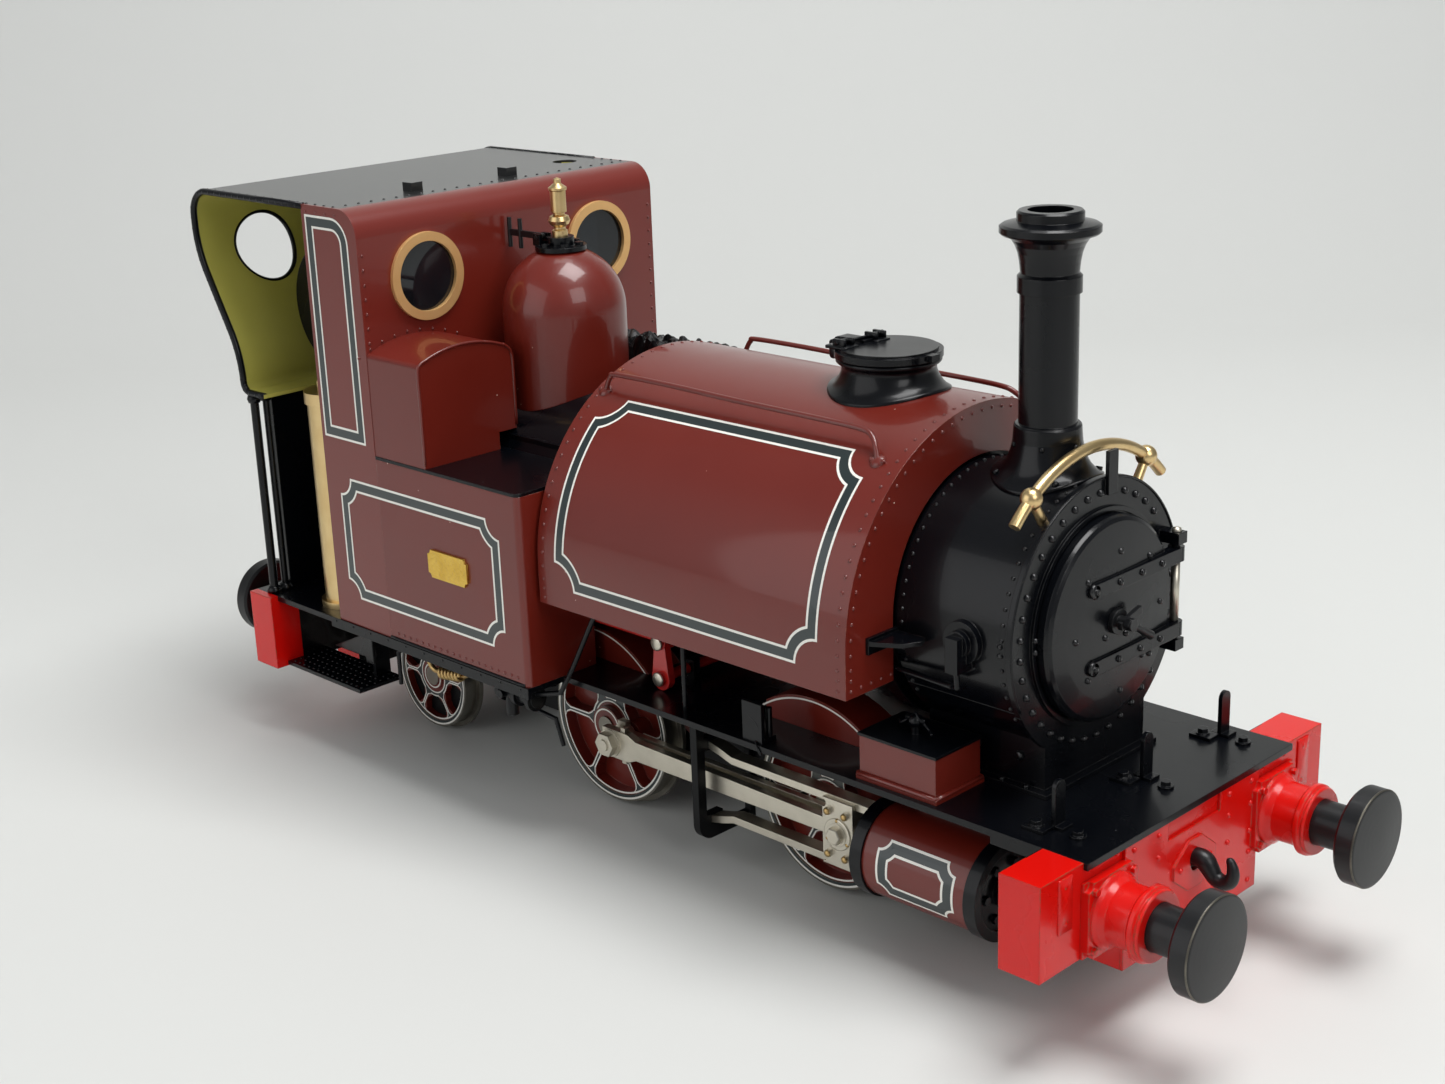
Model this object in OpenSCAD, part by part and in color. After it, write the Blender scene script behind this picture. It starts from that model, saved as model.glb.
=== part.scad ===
// Gauge 32 mm live steam saddle tank locomotive, 16 mm to the foot.
// +X is the chimney end, Z = 0 is the bottom of the wheel flanges.

/* [Track and wheels] */
// Distance between the backs of the wheels
back_to_back = 28; // [27.5:0.1:28.6]
// Thickness of the wheel flanges
flange_t = 1.2; // [1:0.1:1.4]
// Width of the tyre treads
tread_w = 3.8; // [3.4:0.1:4]
// Tread radius of the driving wheels
driver_r = 19.4; // [18.6:0.1:19.6]
// Tread radius of the trailing wheels
trail_r = 13.9; // [12:0.1:14.5]
// Height of the flanges over the treads
flange_h = 1.3; // [1:0.1:1.4]
// Radial thickness of the tyres
tyre_t = 1.6; // [1.4:0.1:2]
// Number of spokes in each wheel
spokes = 6; // [5:1:8]
// Radius of the axles
axle_r = 2.5; // [2:0.1:2.8]
// Position of the rear driving axle
rear_x = -21.3; // [-22:0.1:-20.8]
// Position of the front driving axle
front_x = 48.4; // [47:0.1:48.5]
// Position of the trailing axle
trail_x = -92; // [-94:0.5:-88]

/* [Motion] */
// Crank throw
throw = 8; // [7:0.1:8.2]
// Length of the connecting rods between centres
con_l = 73; // [71:0.5:73.5]
// Distance of the cylinder centrelines from the middle of the engine
cyl_y = 25.2; // [25.2:0.1:26]
// Height between the two slide bars
bar_gap = 12.6; // [12.4:0.1:13]
// Thickness of the slide bars
bar_t = 1.7; // [1.4:0.1:2]
// Outer radius of the cylinder barrels
cyl_r = 10; // [9.4:0.1:10.2]
// Bore radius of the cylinders
bore_r = 7.25; // [6.5:0.05:8]
// Thickness of the pistons
piston_t = 6; // [5:0.5:6.5]

/* [Frames and platform] */
// Distance of the outer faces of the buffer beams from the middle
beam_x = 127.5; // [124:0.5:132]
// Thickness of the buffer beams
beam_t = 9.4; // [8:0.2:11]
// Half of the length of the buffer beams
beam_hw = 49.2; // [47.4:0.2:52]
// Height of the platform's upper face
deck_z = 39.4; // [39.2:0.1:40.4]
// Thickness of the platform
deck_t = 1.4; // [1:0.1:1.8]
// Half of the width of the front platform
deck_hw = 36; // [34.6:0.2:36.5]
// Distance between the side frames
frame_gap = 23.2; // [22:0.2:23.6]
// Thickness of the side frames
frame_t = 1.2; // [1:0.1:1.4]
// Depth of the buffer beams
beam_h = 19.6; // [18:0.2:22]

/* [Buffers] */
// Distance of each buffer from the middle of the engine
buf_y = 29; // [27:0.2:31]
// Height of the buffers
buf_z = 27.7; // [26:0.1:29]
// Radius of the buffer heads
buf_r = 10.2; // [9:0.1:11]
// Distance from the beam to the face of a buffer head
buf_l = 24.8; // [23:0.2:26]
// Travel of a buffer head
buf_travel = 3; // [2:0.5:3.5]

/* [Boiler and smokebox] */
// Height of the boiler's centreline
boiler_z = 72.1; // [71.5:0.1:73]
// Outer radius of the boiler cladding
boiler_r = 25.6; // [24:0.1:25.8]
// Outer radius of the smokebox wrapper
smoke_r = 27.6; // [27:0.1:28]
// Front face of the smokebox
smoke_x = 104.6; // [102:0.2:106]
// Thickness of the smokebox wrapper
smoke_t = 1.6; // [1.2:0.1:2]
// Radius of the smokebox door
door_r = 21; // [20:0.1:21.6]
// Position of the chimney along the engine
chim_x = 91.9; // [90.4:0.1:92.5]
// Height of the top of the chimney
chim_top = 151.3; // [146:0.5:156]
// Outer radius of the chimney barrel
chim_r = 5.8; // [5.4:0.1:6]
// Radius of the chimney's bore
chim_bore = 4.4; // [4:0.1:4.8]

/* [Saddle tank] */
// Rear face of the tank
tank_x0 = -16; // [-16.5:0.1:-13]
// Front face of the tank
tank_x1 = 75.7; // [74:0.1:77]
// Half of the width of the tank
tank_hw = 42.6; // [40:0.2:44]
// Height of the tank's lower edge
tank_z0 = 59.7; // [58:0.1:62]
// Height of the top of the tank
tank_top = 111.2; // [109:0.2:113]
// Radius of the arch that clears the boiler
arch_r = 28.3; // [28.1:0.1:29]
// Position of the filler along the tank
fill_x = 51.2; // [45:0.5:56]
// Radius of the filler lid
lid_r = 11.4; // [10:0.1:12]

/* [Dome and valve] */
// Position of the dome
dome_x = -51.7; // [-53:0.1:-50]
// Radius of the dome
dome_r = 15; // [14:0.1:15.6]
// Height where the dome's side ends
dome_z = 115.5; // [113:0.5:117.5]

/* [Cab and bunkers] */
// Half of the width of the cab
cab_hw = 46.5; // [45:0.5:47.2]
// Front face of the cab
cab_x1 = -69.3; // [-70.3:0.1:-68.5]
// Front edge of the cab doorway
door_x = -90.6; // [-92:0.2:-88]
// Rear face of the cab
cab_x0 = -140; // [-144:0.5:-138]
// Height of the roof
roof_z = 143.5; // [141:0.5:146]
// Thickness of the cab sheets
sheet_t = 1; // [0.8:0.1:1.2]
// Height of the bunker tops
bunk_z = 85.4; // [83:0.2:87]
// Front face of the bunkers
bunk_x1 = -17.3; // [-19:0.1:-17.2]
// Radius of the porthole openings
port_r = 8.6; // [8:0.1:9.5]
// Distance of the portholes from the middle of the engine
port_y = 27.3; // [25:0.2:30]
// Height of the portholes
port_z = 125.7; // [123:0.2:128]

/* [Hidden] */
fit = 0.05;                 // running clearance on a shaft's radius
web_t = 1.4;                // plate behind the spokes
rim_t = 0.6;                // rim inside the tyre
hub_web = 2;                // flat round the hub
gap = 0.3;                  // gap between pieces that pass each other
seg = 72;                   // facets of large rounds
wy0 = back_to_back / 2;     // backs of the wheels
wy1 = wy0 + flange_t + tread_w;
axle_z = driver_r + flange_h;
trail_z = trail_r + flange_h;
hub_y = wy1 + 1.4;          // faces of the driving wheel hubs
axle_y = hub_y + 0.4;
crod_y0 = axle_y + 0.2;     // coupling rods
crod_y1 = crod_y0 + 1.7;
collar_y = crod_y1 + 0.4;
pin_r = 1.6;
con_t = 2;                  // connecting rods
con_y0 = cyl_y - con_t / 2 + 0.3;
con_y1 = con_y0 + con_t;
bar_y0 = collar_y + gap;    // slide bars
bar_y1 = 2 * cyl_y - bar_y0;
cheek_y = con_y0 - 0.1;     // slot in the crossheads
slot_y = con_y1 + 0.1;
xh_l = 4.2;                 // half the length of a crosshead
gud_r = 1.3;
bar_lo = axle_z - bar_gap / 2;
bar_hi = axle_z + bar_gap / 2;
g_front = rear_x + throw + con_l;      // gudgeon at the front dead centre
g_mid = rear_x + sqrt(con_l * con_l - throw * throw);
con_a = asin(throw / con_l);
gland = 5.6;                // crossheads to the rear covers at the back dead centre
wheel_gap = 0.4;            // front wheel flanges to the rear covers
cyl_x0 = max(g_front + xh_l + gland, front_x + driver_r + flange_h + wheel_gap);
cover_t = 3;
cyl_len = 2 * throw + piston_t + 4.5;  // bore between the covers
cyl_x1 = cyl_x0 + 2 * cover_t + cyl_len;
pist_d = cyl_x0 + cover_t + cyl_len - 2 - piston_t - g_front;
brk_x1 = front_x - 28;                 // front face of the motion brackets
brk_t = 2;
fy0 = frame_gap / 2;
fy1 = fy0 + frame_t;
deck_u = deck_z - deck_t;
beam_z1 = deck_z;
beam_z0 = deck_z - beam_h;
drag_z = beam_z0 - 7.8;     // bottom of the deep middle of the beams
drag_hw = 23.6;
cdeck_hw = cab_hw + 0.4;    // half width of the platform under the cab
slot_hl = 13;               // half length of the wheel openings in the platform
slot_y1 = wy1 + 1.2;
spl_y = 22.9;               // outer faces of the splashers
spl_r = axle_z + 5.6;
tcy = tank_top - tank_hw;   // height where the tank's sides meet its round top
roof_r = 7;
corner_r = 6.5;
s_r = 25;                   // radii of the sweep of the cab's back
s_a = 30;
s_l = 16.2;
s_z = roof_z - 9;
curl_r = 3;
p1 = [cab_x0 + s_r - s_r * cos(s_a), s_z - s_r * sin(s_a)];
p2 = p1 + s_l * [sin(s_a), -cos(s_a)];
c2 = p2 - s_r * [cos(s_a), sin(s_a)];
back_x = c2[0] + s_r;       // back sheet at the waist
waist_z = c2[1] - curl_r;
bunk_y0 = boiler_r + 0.4;   // inner walls of the bunkers
shank_r = 4.8;              // buffer shanks
hinge_x = smoke_x + 3.1;
hinge_y = door_r + 1.4;
door_h = 3.3;                // height of the door's raised edge
strap_z = 8;
rev_x = -76;                // reversing lever's pivot
ws_x = 6.5;                 // weighshaft
ws_z = deck_z + 2.9;
arm_l = 8.6;
reach_y = -24.8;
drum_x = cab_x0 + 31.6;
sand_x = tank_x1 - 4.1;     // sandboxes
sand_y = deck_hw - 1.8;
sand_y0 = 20.2;             // inner faces, clear of the smokebox foot
drum_z = roof_z - 29.9;
drum_r = 16;

// Box between two corners
module bx(x0, x1, y0, y1, z0, z1) translate([x0, y0, z0]) cube([x1 - x0, y1 - y0, z1 - z0]);
// Cylinders along each axis
module cx(x0, x1, r, y = 0, z = 0, f = seg) translate([x0, y, z]) rotate([0, 90, 0])
  cylinder(r = r, h = x1 - x0, $fn = f);
module cy(y0, y1, r, x = 0, z = 0, f = seg) translate([x, y0, z]) rotate([-90, 0, 0])
  cylinder(r = r, h = y1 - y0, $fn = f);
module cz(z0, z1, r, x = 0, y = 0, f = seg) translate([x, y, z0]) cylinder(r = r, h = z1 - z0, $fn = f);
// Profile in Y and Z extruded along X, and in X and Z along Y
module ex(x0, x1) translate([x0, 0, 0]) rotate([90, 0, 90]) linear_extrude(x1 - x0) children();
module ey(y0, y1) translate([0, y1, 0]) rotate([90, 0, 0]) linear_extrude(y1 - y0) children();
module both() { children(); mirror([0, 1, 0]) children(); }
module ends() { children(); mirror([1, 0, 0]) children(); }
// Part of a flat ring between two angles of no more than 90 degrees
module arc(c, r0, r1, a0, a1) translate(c) intersection() {
  difference() { circle(r1, $fn = 96); circle(r0, $fn = 96); }
  polygon([[0, 0], 2 * r1 * [cos(a0), sin(a0)], 2 * r1 * [cos(a1), sin(a1)]]);
}
// Hexagon head along Y and along Z
module hexy(y0, y1, r, x, z) translate([x, y0, z]) rotate([-90, 0, 0]) cylinder(r = r, h = y1 - y0, $fn = 6);
module hexz(x, y, z, r = 1.1, h = 0.9) translate([x, y, z]) cylinder(r = r, h = h, $fn = 6);

// ---- wheels ----
module tyre(x, z, r) difference() {
  union() { cy(wy0, wy0 + flange_t, r + flange_h, x, z); cy(wy0, wy1, r, x, z); }
  cy(wy0 - 1, wy1 + 1, r - tyre_t, x, z);
}
// Wheel centre; pin is the crank pin's direction from the axle, or undef
module centre(x, z, r, hub, pin) {
  ri = r - tyre_t;
  difference() {
    union() {
      difference() { cy(wy0 + 0.4, wy1 - 0.4, ri, x, z); cy(wy0 + web_t, wy1, ri - rim_t, x, z); }
      translate([x, wy1 - 0.5, z]) rotate([90, 0, 0]) linear_extrude(wy1 - wy0 - web_t - 0.3) {
        for (i = [0:spokes - 1]) rotate(i * 360 / spokes + (pin == undef ? 0 : atan2(pin[1], pin[0])))
          polygon([[hub, -1.6], [hub + 2.4, -1.6], [hub + 4, -0.7], [ri - 3, -0.6], [ri - 0.4, -1.9],
            [ri - 0.4, 1.9], [ri - 3, 0.6], [hub + 4, 0.7], [hub + 2.4, 1.6], [hub, 1.6]]);
        circle(hub + hub_web, $fn = 60);
      }
      cy(wy0 + 0.2, (pin == undef ? wy1 - 0.2 : hub_y), hub, x, z, 48);
      if (pin != undef) cy(wy0 + 0.8, wy1 + 0.6, 3, x + throw * pin[0], z + throw * pin[1], 40);
    }
    cy(wy0 - 1, hub_y + 1, axle_r, x, z, 48);
    if (pin != undef) cy(wy0 - 1, hub_y + 1, pin_r, x + throw * pin[0], z + throw * pin[1], 36);
  }
}
// Crank pin with its collar; the rear ones reach out towards the connecting rods
module crank_pin(x, pin, end) {
  cy(wy0 + 1, end, pin_r, x + throw * pin[0], axle_z + throw * pin[1], 36);
  cy(crod_y1 + 0.1, collar_y, pin_r + 0.8, x + throw * pin[0], axle_z + throw * pin[1], 36);
}
RP = [1, 0];  // right crank points forward
LP = [0, 1];  // left crank points up
module driver_centres(x) color("#6e2219") {
  mirror([0, 1, 0]) centre(x, axle_z, driver_r, 4.8, RP);
  centre(x, axle_z, driver_r, 4.8, LP);
}
module driver_steel(x, end) color("#b9b8b2") {
  both() tyre(x, axle_z, driver_r);
  cy(-axle_y, axle_y, axle_r, x, axle_z, 48);
  mirror([0, 1, 0]) crank_pin(x, RP, end);
  crank_pin(x, LP, end);
}
module rear_wheels() driver_centres(rear_x);
module front_wheels() driver_centres(front_x);
module rear_tyres() driver_steel(rear_x, con_y0 - gap);
module front_tyres() driver_steel(front_x, collar_y);
module trailing_wheels() color("#6e2219") both() centre(trail_x, trail_z, trail_r, 3.8, undef);
module trailing_tyres() color("#b9b8b2") {
  both() tyre(trail_x, trail_z, trail_r);
  cy(-wy1, wy1, axle_r, trail_x, trail_z, 48);
}

// ---- rods ----
module coupling(z) {
  difference() {
    union() {
      ey(crod_y0, crod_y1) polygon([[rear_px(z), z - 1.9], [front_px(z), z - 1.9],
        [front_px(z), z + 1.9], [rear_px(z), z + 1.9]]);
      for (x = [rear_px(z), front_px(z)]) {
        cy(crod_y0, crod_y1, 3.3, x, z, 40);
        bx(x - 1.3, x + 1.3, crod_y0, crod_y1, z, z + 4.2);
      }
    }
    for (x = [rear_px(z), front_px(z)]) cy(crod_y0 - 1, crod_y1 + 1, pin_r + fit, x, z, 36);
  }
}
function rear_px(z) = rear_x + (z > axle_z ? 0 : throw);
function front_px(z) = front_x + (z > axle_z ? 0 : throw);
module coupling_rod_right() color("#c9c8c2") mirror([0, 1, 0]) coupling(axle_z);
module coupling_rod_left() color("#c9c8c2") coupling(axle_z + throw);

// Connecting rod from its gudgeon at the origin back to the crank pin
module con_rod() difference() {
  union() {
    ey(con_y0, con_y1) {
      polygon([[-con_l + 2, -2.4], [-4, -1.7], [0, -1.7], [0, 1.7], [-4, 1.7], [-con_l + 2, 2.4]]);
      translate([-con_l - 2.6, -3.5]) square([8.6, 7]);
      polygon([[-con_l + 5.9, -3.5], [-con_l + 9, -2.2], [-con_l + 9, 2.2], [-con_l + 5.9, 3.5]]);
      circle(2.6, $fn = 40);
    }
    cy(con_y0, con_y1 + 0.4, 3.4, -con_l, 0, 40);
    hexy(con_y1 + 0.4, con_y1 + 2.2, 3, -con_l, 0);
    cy(con_y1 + 2.1, con_y1 + 2.6, 1.4, -con_l, 0, 24);
    bx(-con_l + 3.4, -con_l + 4.8, con_y0 + 0.4, con_y1 - 0.4, -4.4, 4.6);
  }
  cy(con_y0 - 1, con_y1 + 1, gud_r + fit, 0, 0, 36);
}
module connecting_rod_right() color("#c9c8c2") mirror([0, 1, 0])
  translate([g_front, 0, axle_z]) con_rod();
module connecting_rod_left() color("#c9c8c2")
  translate([g_mid, 0, axle_z]) rotate([0, con_a, 0]) con_rod();

// Crosshead with its gudgeon, piston rod and piston; x is the gudgeon
module crosshead(x) {
  lo = bar_lo + fit; hi = bar_hi - fit;
  difference() {
    union() {
      bx(x - xh_l, x + xh_l, bar_y0 + 0.1, bar_y1 + 0.1, lo, hi);
      bx(x - xh_l, x + xh_l, bar_y1 + 0.1, bar_y1 + 1.2, bar_lo - 1.3, bar_hi + 1.3);
      cx(x + xh_l - 0.5, x + xh_l + 1.2, 2, cyl_y, axle_z, 36);
    }
    bx(x - xh_l - 1, x + xh_l - 1.2, cheek_y, slot_y, lo + 1.8, hi - 1.8);
    for (s = [-1, 1]) ey(bar_y0, bar_y1 + 2) translate([x - xh_l, axle_z + s * bar_gap / 2])
      circle(1, $fn = 24);
  }
  cy(bar_y0 + 0.1, bar_y1 + 2, gud_r, x, axle_z, 36);
  cy(bar_y1 + 1.2, bar_y1 + 1.7, 2.6, x, axle_z, 36);
  for (i = [-1, 1], k = [-1, 1]) hexy(bar_y1 + 1.2, bar_y1 + 1.9, 0.9, x + 2.4 * i, axle_z + 4.9 * k);
  cx(x + xh_l, x + pist_d, gud_r - 0.1, cyl_y, axle_z, 36);
  cx(x + pist_d, x + pist_d + piston_t, bore_r - fit, cyl_y, axle_z);
}
module crosshead_right() color("#d4d3cd") mirror([0, 1, 0]) crosshead(g_front);
module crosshead_left() color("#d4d3cd") crosshead(g_mid);

module slide_bars() color("#c9c8c2") both() for (s = [-1, 1])
  translate([0, 0, axle_z]) scale([1, 1, 1]) mirror([0, 0, s < 0 ? 1 : 0]) ey(bar_y0, bar_y1)
    polygon([[cyl_x0, bar_gap / 2], [cyl_x0, bar_gap / 2 + bar_t], [brk_x1 + 7, bar_gap / 2 + bar_t],
      [brk_x1 + 3.4, bar_gap / 2 + bar_t + 1.1], [brk_x1, bar_gap / 2 + bar_t + 1.9],
      [brk_x1, bar_gap / 2 + 1.9], [brk_x1 + 3.4, bar_gap / 2 + 1.1], [brk_x1 + 7, bar_gap / 2]]);

module motion_brackets() color("#232427") both() {
  oy = con_y1 + 4.2;
  ex(brk_x1 - brk_t, brk_x1) difference() {
    translate([fy1, 7]) square([oy - fy1, deck_u - 7]);
    difference() {
      translate([oy - 4, 6]) square([5, 5]);
      translate([oy - 4, 11]) circle(4, $fn = 40);
    }
    translate([fy1 + 1.4, 9.2]) square([bar_y0 - 0.1 - fy1 - 1.4, deck_u - 11.4]);
    translate([bar_y0 - 0.2, bar_lo - 1.5]) square([oy - 2.4 - bar_y0 + 0.2, bar_gap + 3]);
    translate([bar_y0 - 0.2, bar_hi + 4.6]) square([oy - 2.4 - bar_y0 + 0.2, deck_u - bar_hi - 6.8]);
  }
  bx(brk_x1 - brk_t, brk_x1 + 3, fy1, oy, deck_u - 1.2, deck_u);
}

module cylinders() color("#6e2219") both() difference() {
  union() {
    cx(cyl_x0 + cover_t, cyl_x1 - cover_t, cyl_r, cyl_y, axle_z);
    bx(cyl_x0 + 7, cyl_x1 - 7, fy1, cyl_y - 4, axle_z + 4, deck_u);
    bx(cyl_x0 + 7, cyl_x1 - 7, fy1, cyl_y - 7, axle_z - 6, axle_z + 5);
  }
  cx(cyl_x0, cyl_x1, bore_r, cyl_y, axle_z);
}
module cylinder_covers() color("#232427") both() {
  difference() {
    union() {
      cx(cyl_x0, cyl_x0 + cover_t, cyl_r + 0.5, cyl_y, axle_z);
      cx(cyl_x0 - 2.7, cyl_x0 + 1, 3, cyl_y, axle_z, 40);
    }
    cx(cyl_x0 - 4, cyl_x0 + cover_t + 1, gud_r - 0.1 + fit, cyl_y, axle_z, 36);
  }
  difference() {
    cx(cyl_x1 - cover_t, cyl_x1, cyl_r + 0.5, cyl_y, axle_z);
    cx(cyl_x1 - 1, cyl_x1 + 1, cyl_r - 1.6, cyl_y, axle_z);
  }
  cx(cyl_x1 - 1, cyl_x1 + 0.6, 3.4, cyl_y, axle_z, 40);
  for (i = [0:5]) rotate_about(i * 60 + 30) translate([cyl_x1 - 1, cyl_y, axle_z + 6])
    rotate([0, 90, 0]) cylinder(r = 1, h = 0.9, $fn = 6);
}
module rotate_about(a) translate([0, cyl_y, axle_z]) rotate([a, 0, 0]) translate([0, -cyl_y, -axle_z])
  children();

// ---- frames ----
module main_frames() color("#1d1e20") {
  difference() {
    union() {
      both() difference() {
        ey(fy0, fy1) polygon([[-beam_x + beam_t, 24], [-104, 24], [-100, 10.5], [-84, 10.5], [-79, 15],
          [rear_x - 13, 15], [rear_x - 9, 13], [rear_x + 9, 13], [rear_x + 13, 15], [front_x - 13, 15],
          [front_x - 9, 13], [front_x + 9, 13], [front_x + 13, 15], [102, 15], [108, 23],
          [beam_x - beam_t, 23], [beam_x - beam_t, deck_u], [-beam_x + beam_t, deck_u]]);
        for (x = [-67, -51, 0]) ey(fy0 - 1, fy1 + 1) translate([x, 26]) circle(5, $fn = 40);
      }
      both() for (p = [[rear_x, axle_z], [front_x, axle_z], [trail_x, trail_z]])
        cy(fy0 - 0.8, wy0 - 0.4, axle_r + 2.2, p[0], p[1], 40);
      for (x = [-111, -77, 14, 84]) bx(x, x + 1.6, -fy0, fy0, 17, deck_u - 1);
    }
    for (p = [[rear_x, axle_z], [front_x, axle_z], [trail_x, trail_z]])
      cy(-wy0, wy0, axle_r + fit, p[0], p[1], 48);
  }
  ends() both() {
    bx(beam_x - beam_t - 6, beam_x - beam_t, fy1, fy1 + 1, 24, deck_u);
    bx(beam_x - beam_t - 1, beam_x - beam_t, fy1, fy1 + 5, 24, deck_u);
  }
}

module footplate() color("#232427") difference() {
  union() {
    bx(bunk_x1, beam_x + 0.9, -deck_hw, deck_hw, deck_u, deck_z);
    bx(-beam_x, bunk_x1, -cdeck_hw, cdeck_hw, deck_u, deck_z);
    both() bx(door_x - 3.6, bunk_x1, cdeck_hw - 1, cdeck_hw, deck_u - 1.2, deck_z);
    both() bx(cyl_x1 + 4, beam_x - beam_t, deck_hw - 1, deck_hw, deck_u - 1.6, deck_z);
  }
  bx(cab_x1 - 5, bunk_x1 - 20, -fy0 + 0.6, fy0 - 0.6, deck_u - 1, deck_z + 1);
  both() for (x = [rear_x, front_x]) bx(x - slot_hl, x + slot_hl, wy0 - 0.8, slot_y1, deck_u - 1, deck_z + 1);
}

// Buffer beam with its seat for a platform of half width hw
module beam(hw) difference() {
  union() {
    bx(beam_x - beam_t, beam_x, -beam_hw, beam_hw, beam_z0, beam_z1);
    bx(beam_x - beam_t, beam_x, -drag_hw, drag_hw, drag_z, beam_z0);
  }
  bx(beam_x - beam_t - 1, beam_x + 1, -hw, hw, deck_u, deck_z + 1);
  cx(beam_x - 3, beam_x + 1, 1.6, 0, buf_z - 1.5, 32);
}
module buffer_beams() color("#c4251c") {
  beam(deck_hw);
  mirror([1, 0, 0]) beam(cdeck_hw);
  // gussets hung from the platform over the rear steps
  gx = beam_t - beam_x + 25.7;
  both() ey(cab_hw - 8.6, cab_hw - 7.6) polygon([[gx - 13.6, deck_u - 11.6], [gx, deck_u - 11.6],
    [gx, deck_u - 13], [gx + 3.2, deck_u - 13], [gx + 3.2, deck_u], [gx, deck_u], [gx, deck_u - 5.4]]);
}

// Red plates on the beams and the fixed parts of the buffers
module buffer_stocks() color("#c4251c") ends() {
  hz = buf_z - 1.5;
  // face plate with a notch under the platform, and the plate round the hook
  difference() {
    ex(beam_x, beam_x + 0.7) {
      difference() {
        translate([-drag_hw, drag_z]) square([2 * drag_hw, deck_u - drag_z]);
        translate([-9.2, deck_u - 4]) square([18.4, 6]);
      }
    }
    cx(beam_x - 1, beam_x + 2, 1.6, 0, hz, 32);
  }
  difference() {
    ex(beam_x + 0.7, beam_x + 1.2) polygon([[-7.4, hz - 1.4], [-2.2, hz - 5.4], [2.2, hz - 5.4], [7.4, hz - 1.4],
      [7.4, hz + 1.4], [2.2, hz + 5.4], [-2.2, hz + 5.4], [-7.4, hz + 1.4]]);
    cx(beam_x - 1, beam_x + 2, 1.6, 0, hz, 32);
  }
  both() difference() {
    union() {
      ex(beam_x + 0.7, beam_x + 1.9) difference() {
        translate([buf_y - 7.8, buf_z - 7.8]) square([15.6, 15.6]);
        for (i = [-1, 1], k = [-1, 1]) translate([buf_y + 7.8 * i, buf_z + 7.8 * k]) circle(1.6, $fn = 24);
      }
      bx(beam_x, beam_x + 0.7, buf_y - 7.8, buf_y + 7.8, buf_z - 7.8, buf_z + 7.8);
      for (i = [-1, 1], k = [-1, 1]) translate([beam_x + 1.8, buf_y + 6.1 * i, buf_z + 6.1 * k])
        rotate([0, 90, 0]) cylinder(r = 0.8, h = 1, $fn = 6);
      translate([beam_x, buf_y, buf_z]) rotate([0, 90, 0]) rotate_extrude($fn = 48)
        polygon([[0, 0], [7.6, 0], [7.6, 2.4], [6.9, 3], [6.3, 4.2], [6.2, 9.2], [6.9, 9.2], [7.5, 9.8],
          [7.5, 10.7], [6.9, 11.1], [7.2, 11.5], [6.9, 12], [0, 12]]);
    }
    cx(beam_x + 1.4, beam_x + 13, shank_r, buf_y, buf_z, 40);
  }
}
// Sliding buffer head with its shank
module buffer_head() color("#26272a") {
  cx(beam_x + 1.8 + buf_travel, beam_x + buf_l - 2, shank_r - fit, buf_y, buf_z, 40);
  translate([beam_x + buf_l - 4.8, buf_y, buf_z]) rotate([0, 90, 0]) rotate_extrude($fn = seg)
    polygon(concat([[0, 0], [buf_r - 0.6, 0], [buf_r, 0.6], [buf_r, 3.9], [buf_r - 0.3, 4.3]],
      [for (i = [0:5]) let (r = buf_r - 0.7 - i * buf_r * 0.17) [max(r, 0), 4.8 - 0.0045 * r * r]], [[0, 4.8]]));
}
module buffer_front_right() mirror([0, 1, 0]) buffer_head();
module buffer_front_left() buffer_head();
module buffer_rear_right() mirror([1, 0, 0]) mirror([0, 1, 0]) buffer_head();
module buffer_rear_left() mirror([1, 0, 0]) buffer_head();

module draw_hooks() color("#26272a") ends() {
  z = buf_z - 1.5;
  cx(beam_x - 2, beam_x + 4, 1.5, 0, z, 32);
  ey(-1.6, 1.6) difference() {
    union() {
      polygon([[beam_x + 1.2, z - 1.8], [beam_x + 4, z - 1.8], [beam_x + 7, z - 3.8], [beam_x + 7, z],
        [beam_x + 5.4, z + 2.6], [beam_x + 4.4, z + 3.9], [beam_x + 3.2, z + 4.1], [beam_x + 1.2, z + 3]]);
      translate([beam_x + 7.2, z]) circle(3.9, $fn = 60);
    }
    polygon([[beam_x + 4.2, z + 5], [beam_x + 4.9, z + 3.3], [beam_x + 6.5, z - 0.5], [beam_x + 7.1, z - 1],
      [beam_x + 7.7, z - 0.4], [beam_x + 7.3, z + 2.2], [beam_x + 6.9, z + 5]]);
  }
}

// ---- boiler and smokebox ----
module boiler() color("#26272a") {
  difference() {
    union() {
      cx(cab_x1 - 9, tank_x1, boiler_r, 0, boiler_z);
      for (x = [tank_x0 + 3, (tank_x0 + tank_x1) / 2, tank_x1 - 7]) cx(x, x + 4, arch_r, 0, boiler_z);
      both() bx(cab_x1, tank_x0, 19.4, 20.6, boiler_z + 15.2, boiler_z + 16.4);
      bx(cab_x1 - 5, bunk_x1 - 20, -fy0 + 0.6, fy0 - 0.6, axle_z + 4, boiler_z - 20);
      translate([cab_x1 - 9, 0, boiler_z]) rotate([0, -90, 0]) rotate_extrude($fn = seg)
        polygon([[0, -1], [boiler_r - 2, -1], [boiler_r - 2, 0], [boiler_r - 3.2, 1.6], [0, 1.6]]);
    }
    cx(cab_x1 - 12, cab_x1 - 8, 1.4 + fit, 0, boiler_z + 14, 28);
  }
}

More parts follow.
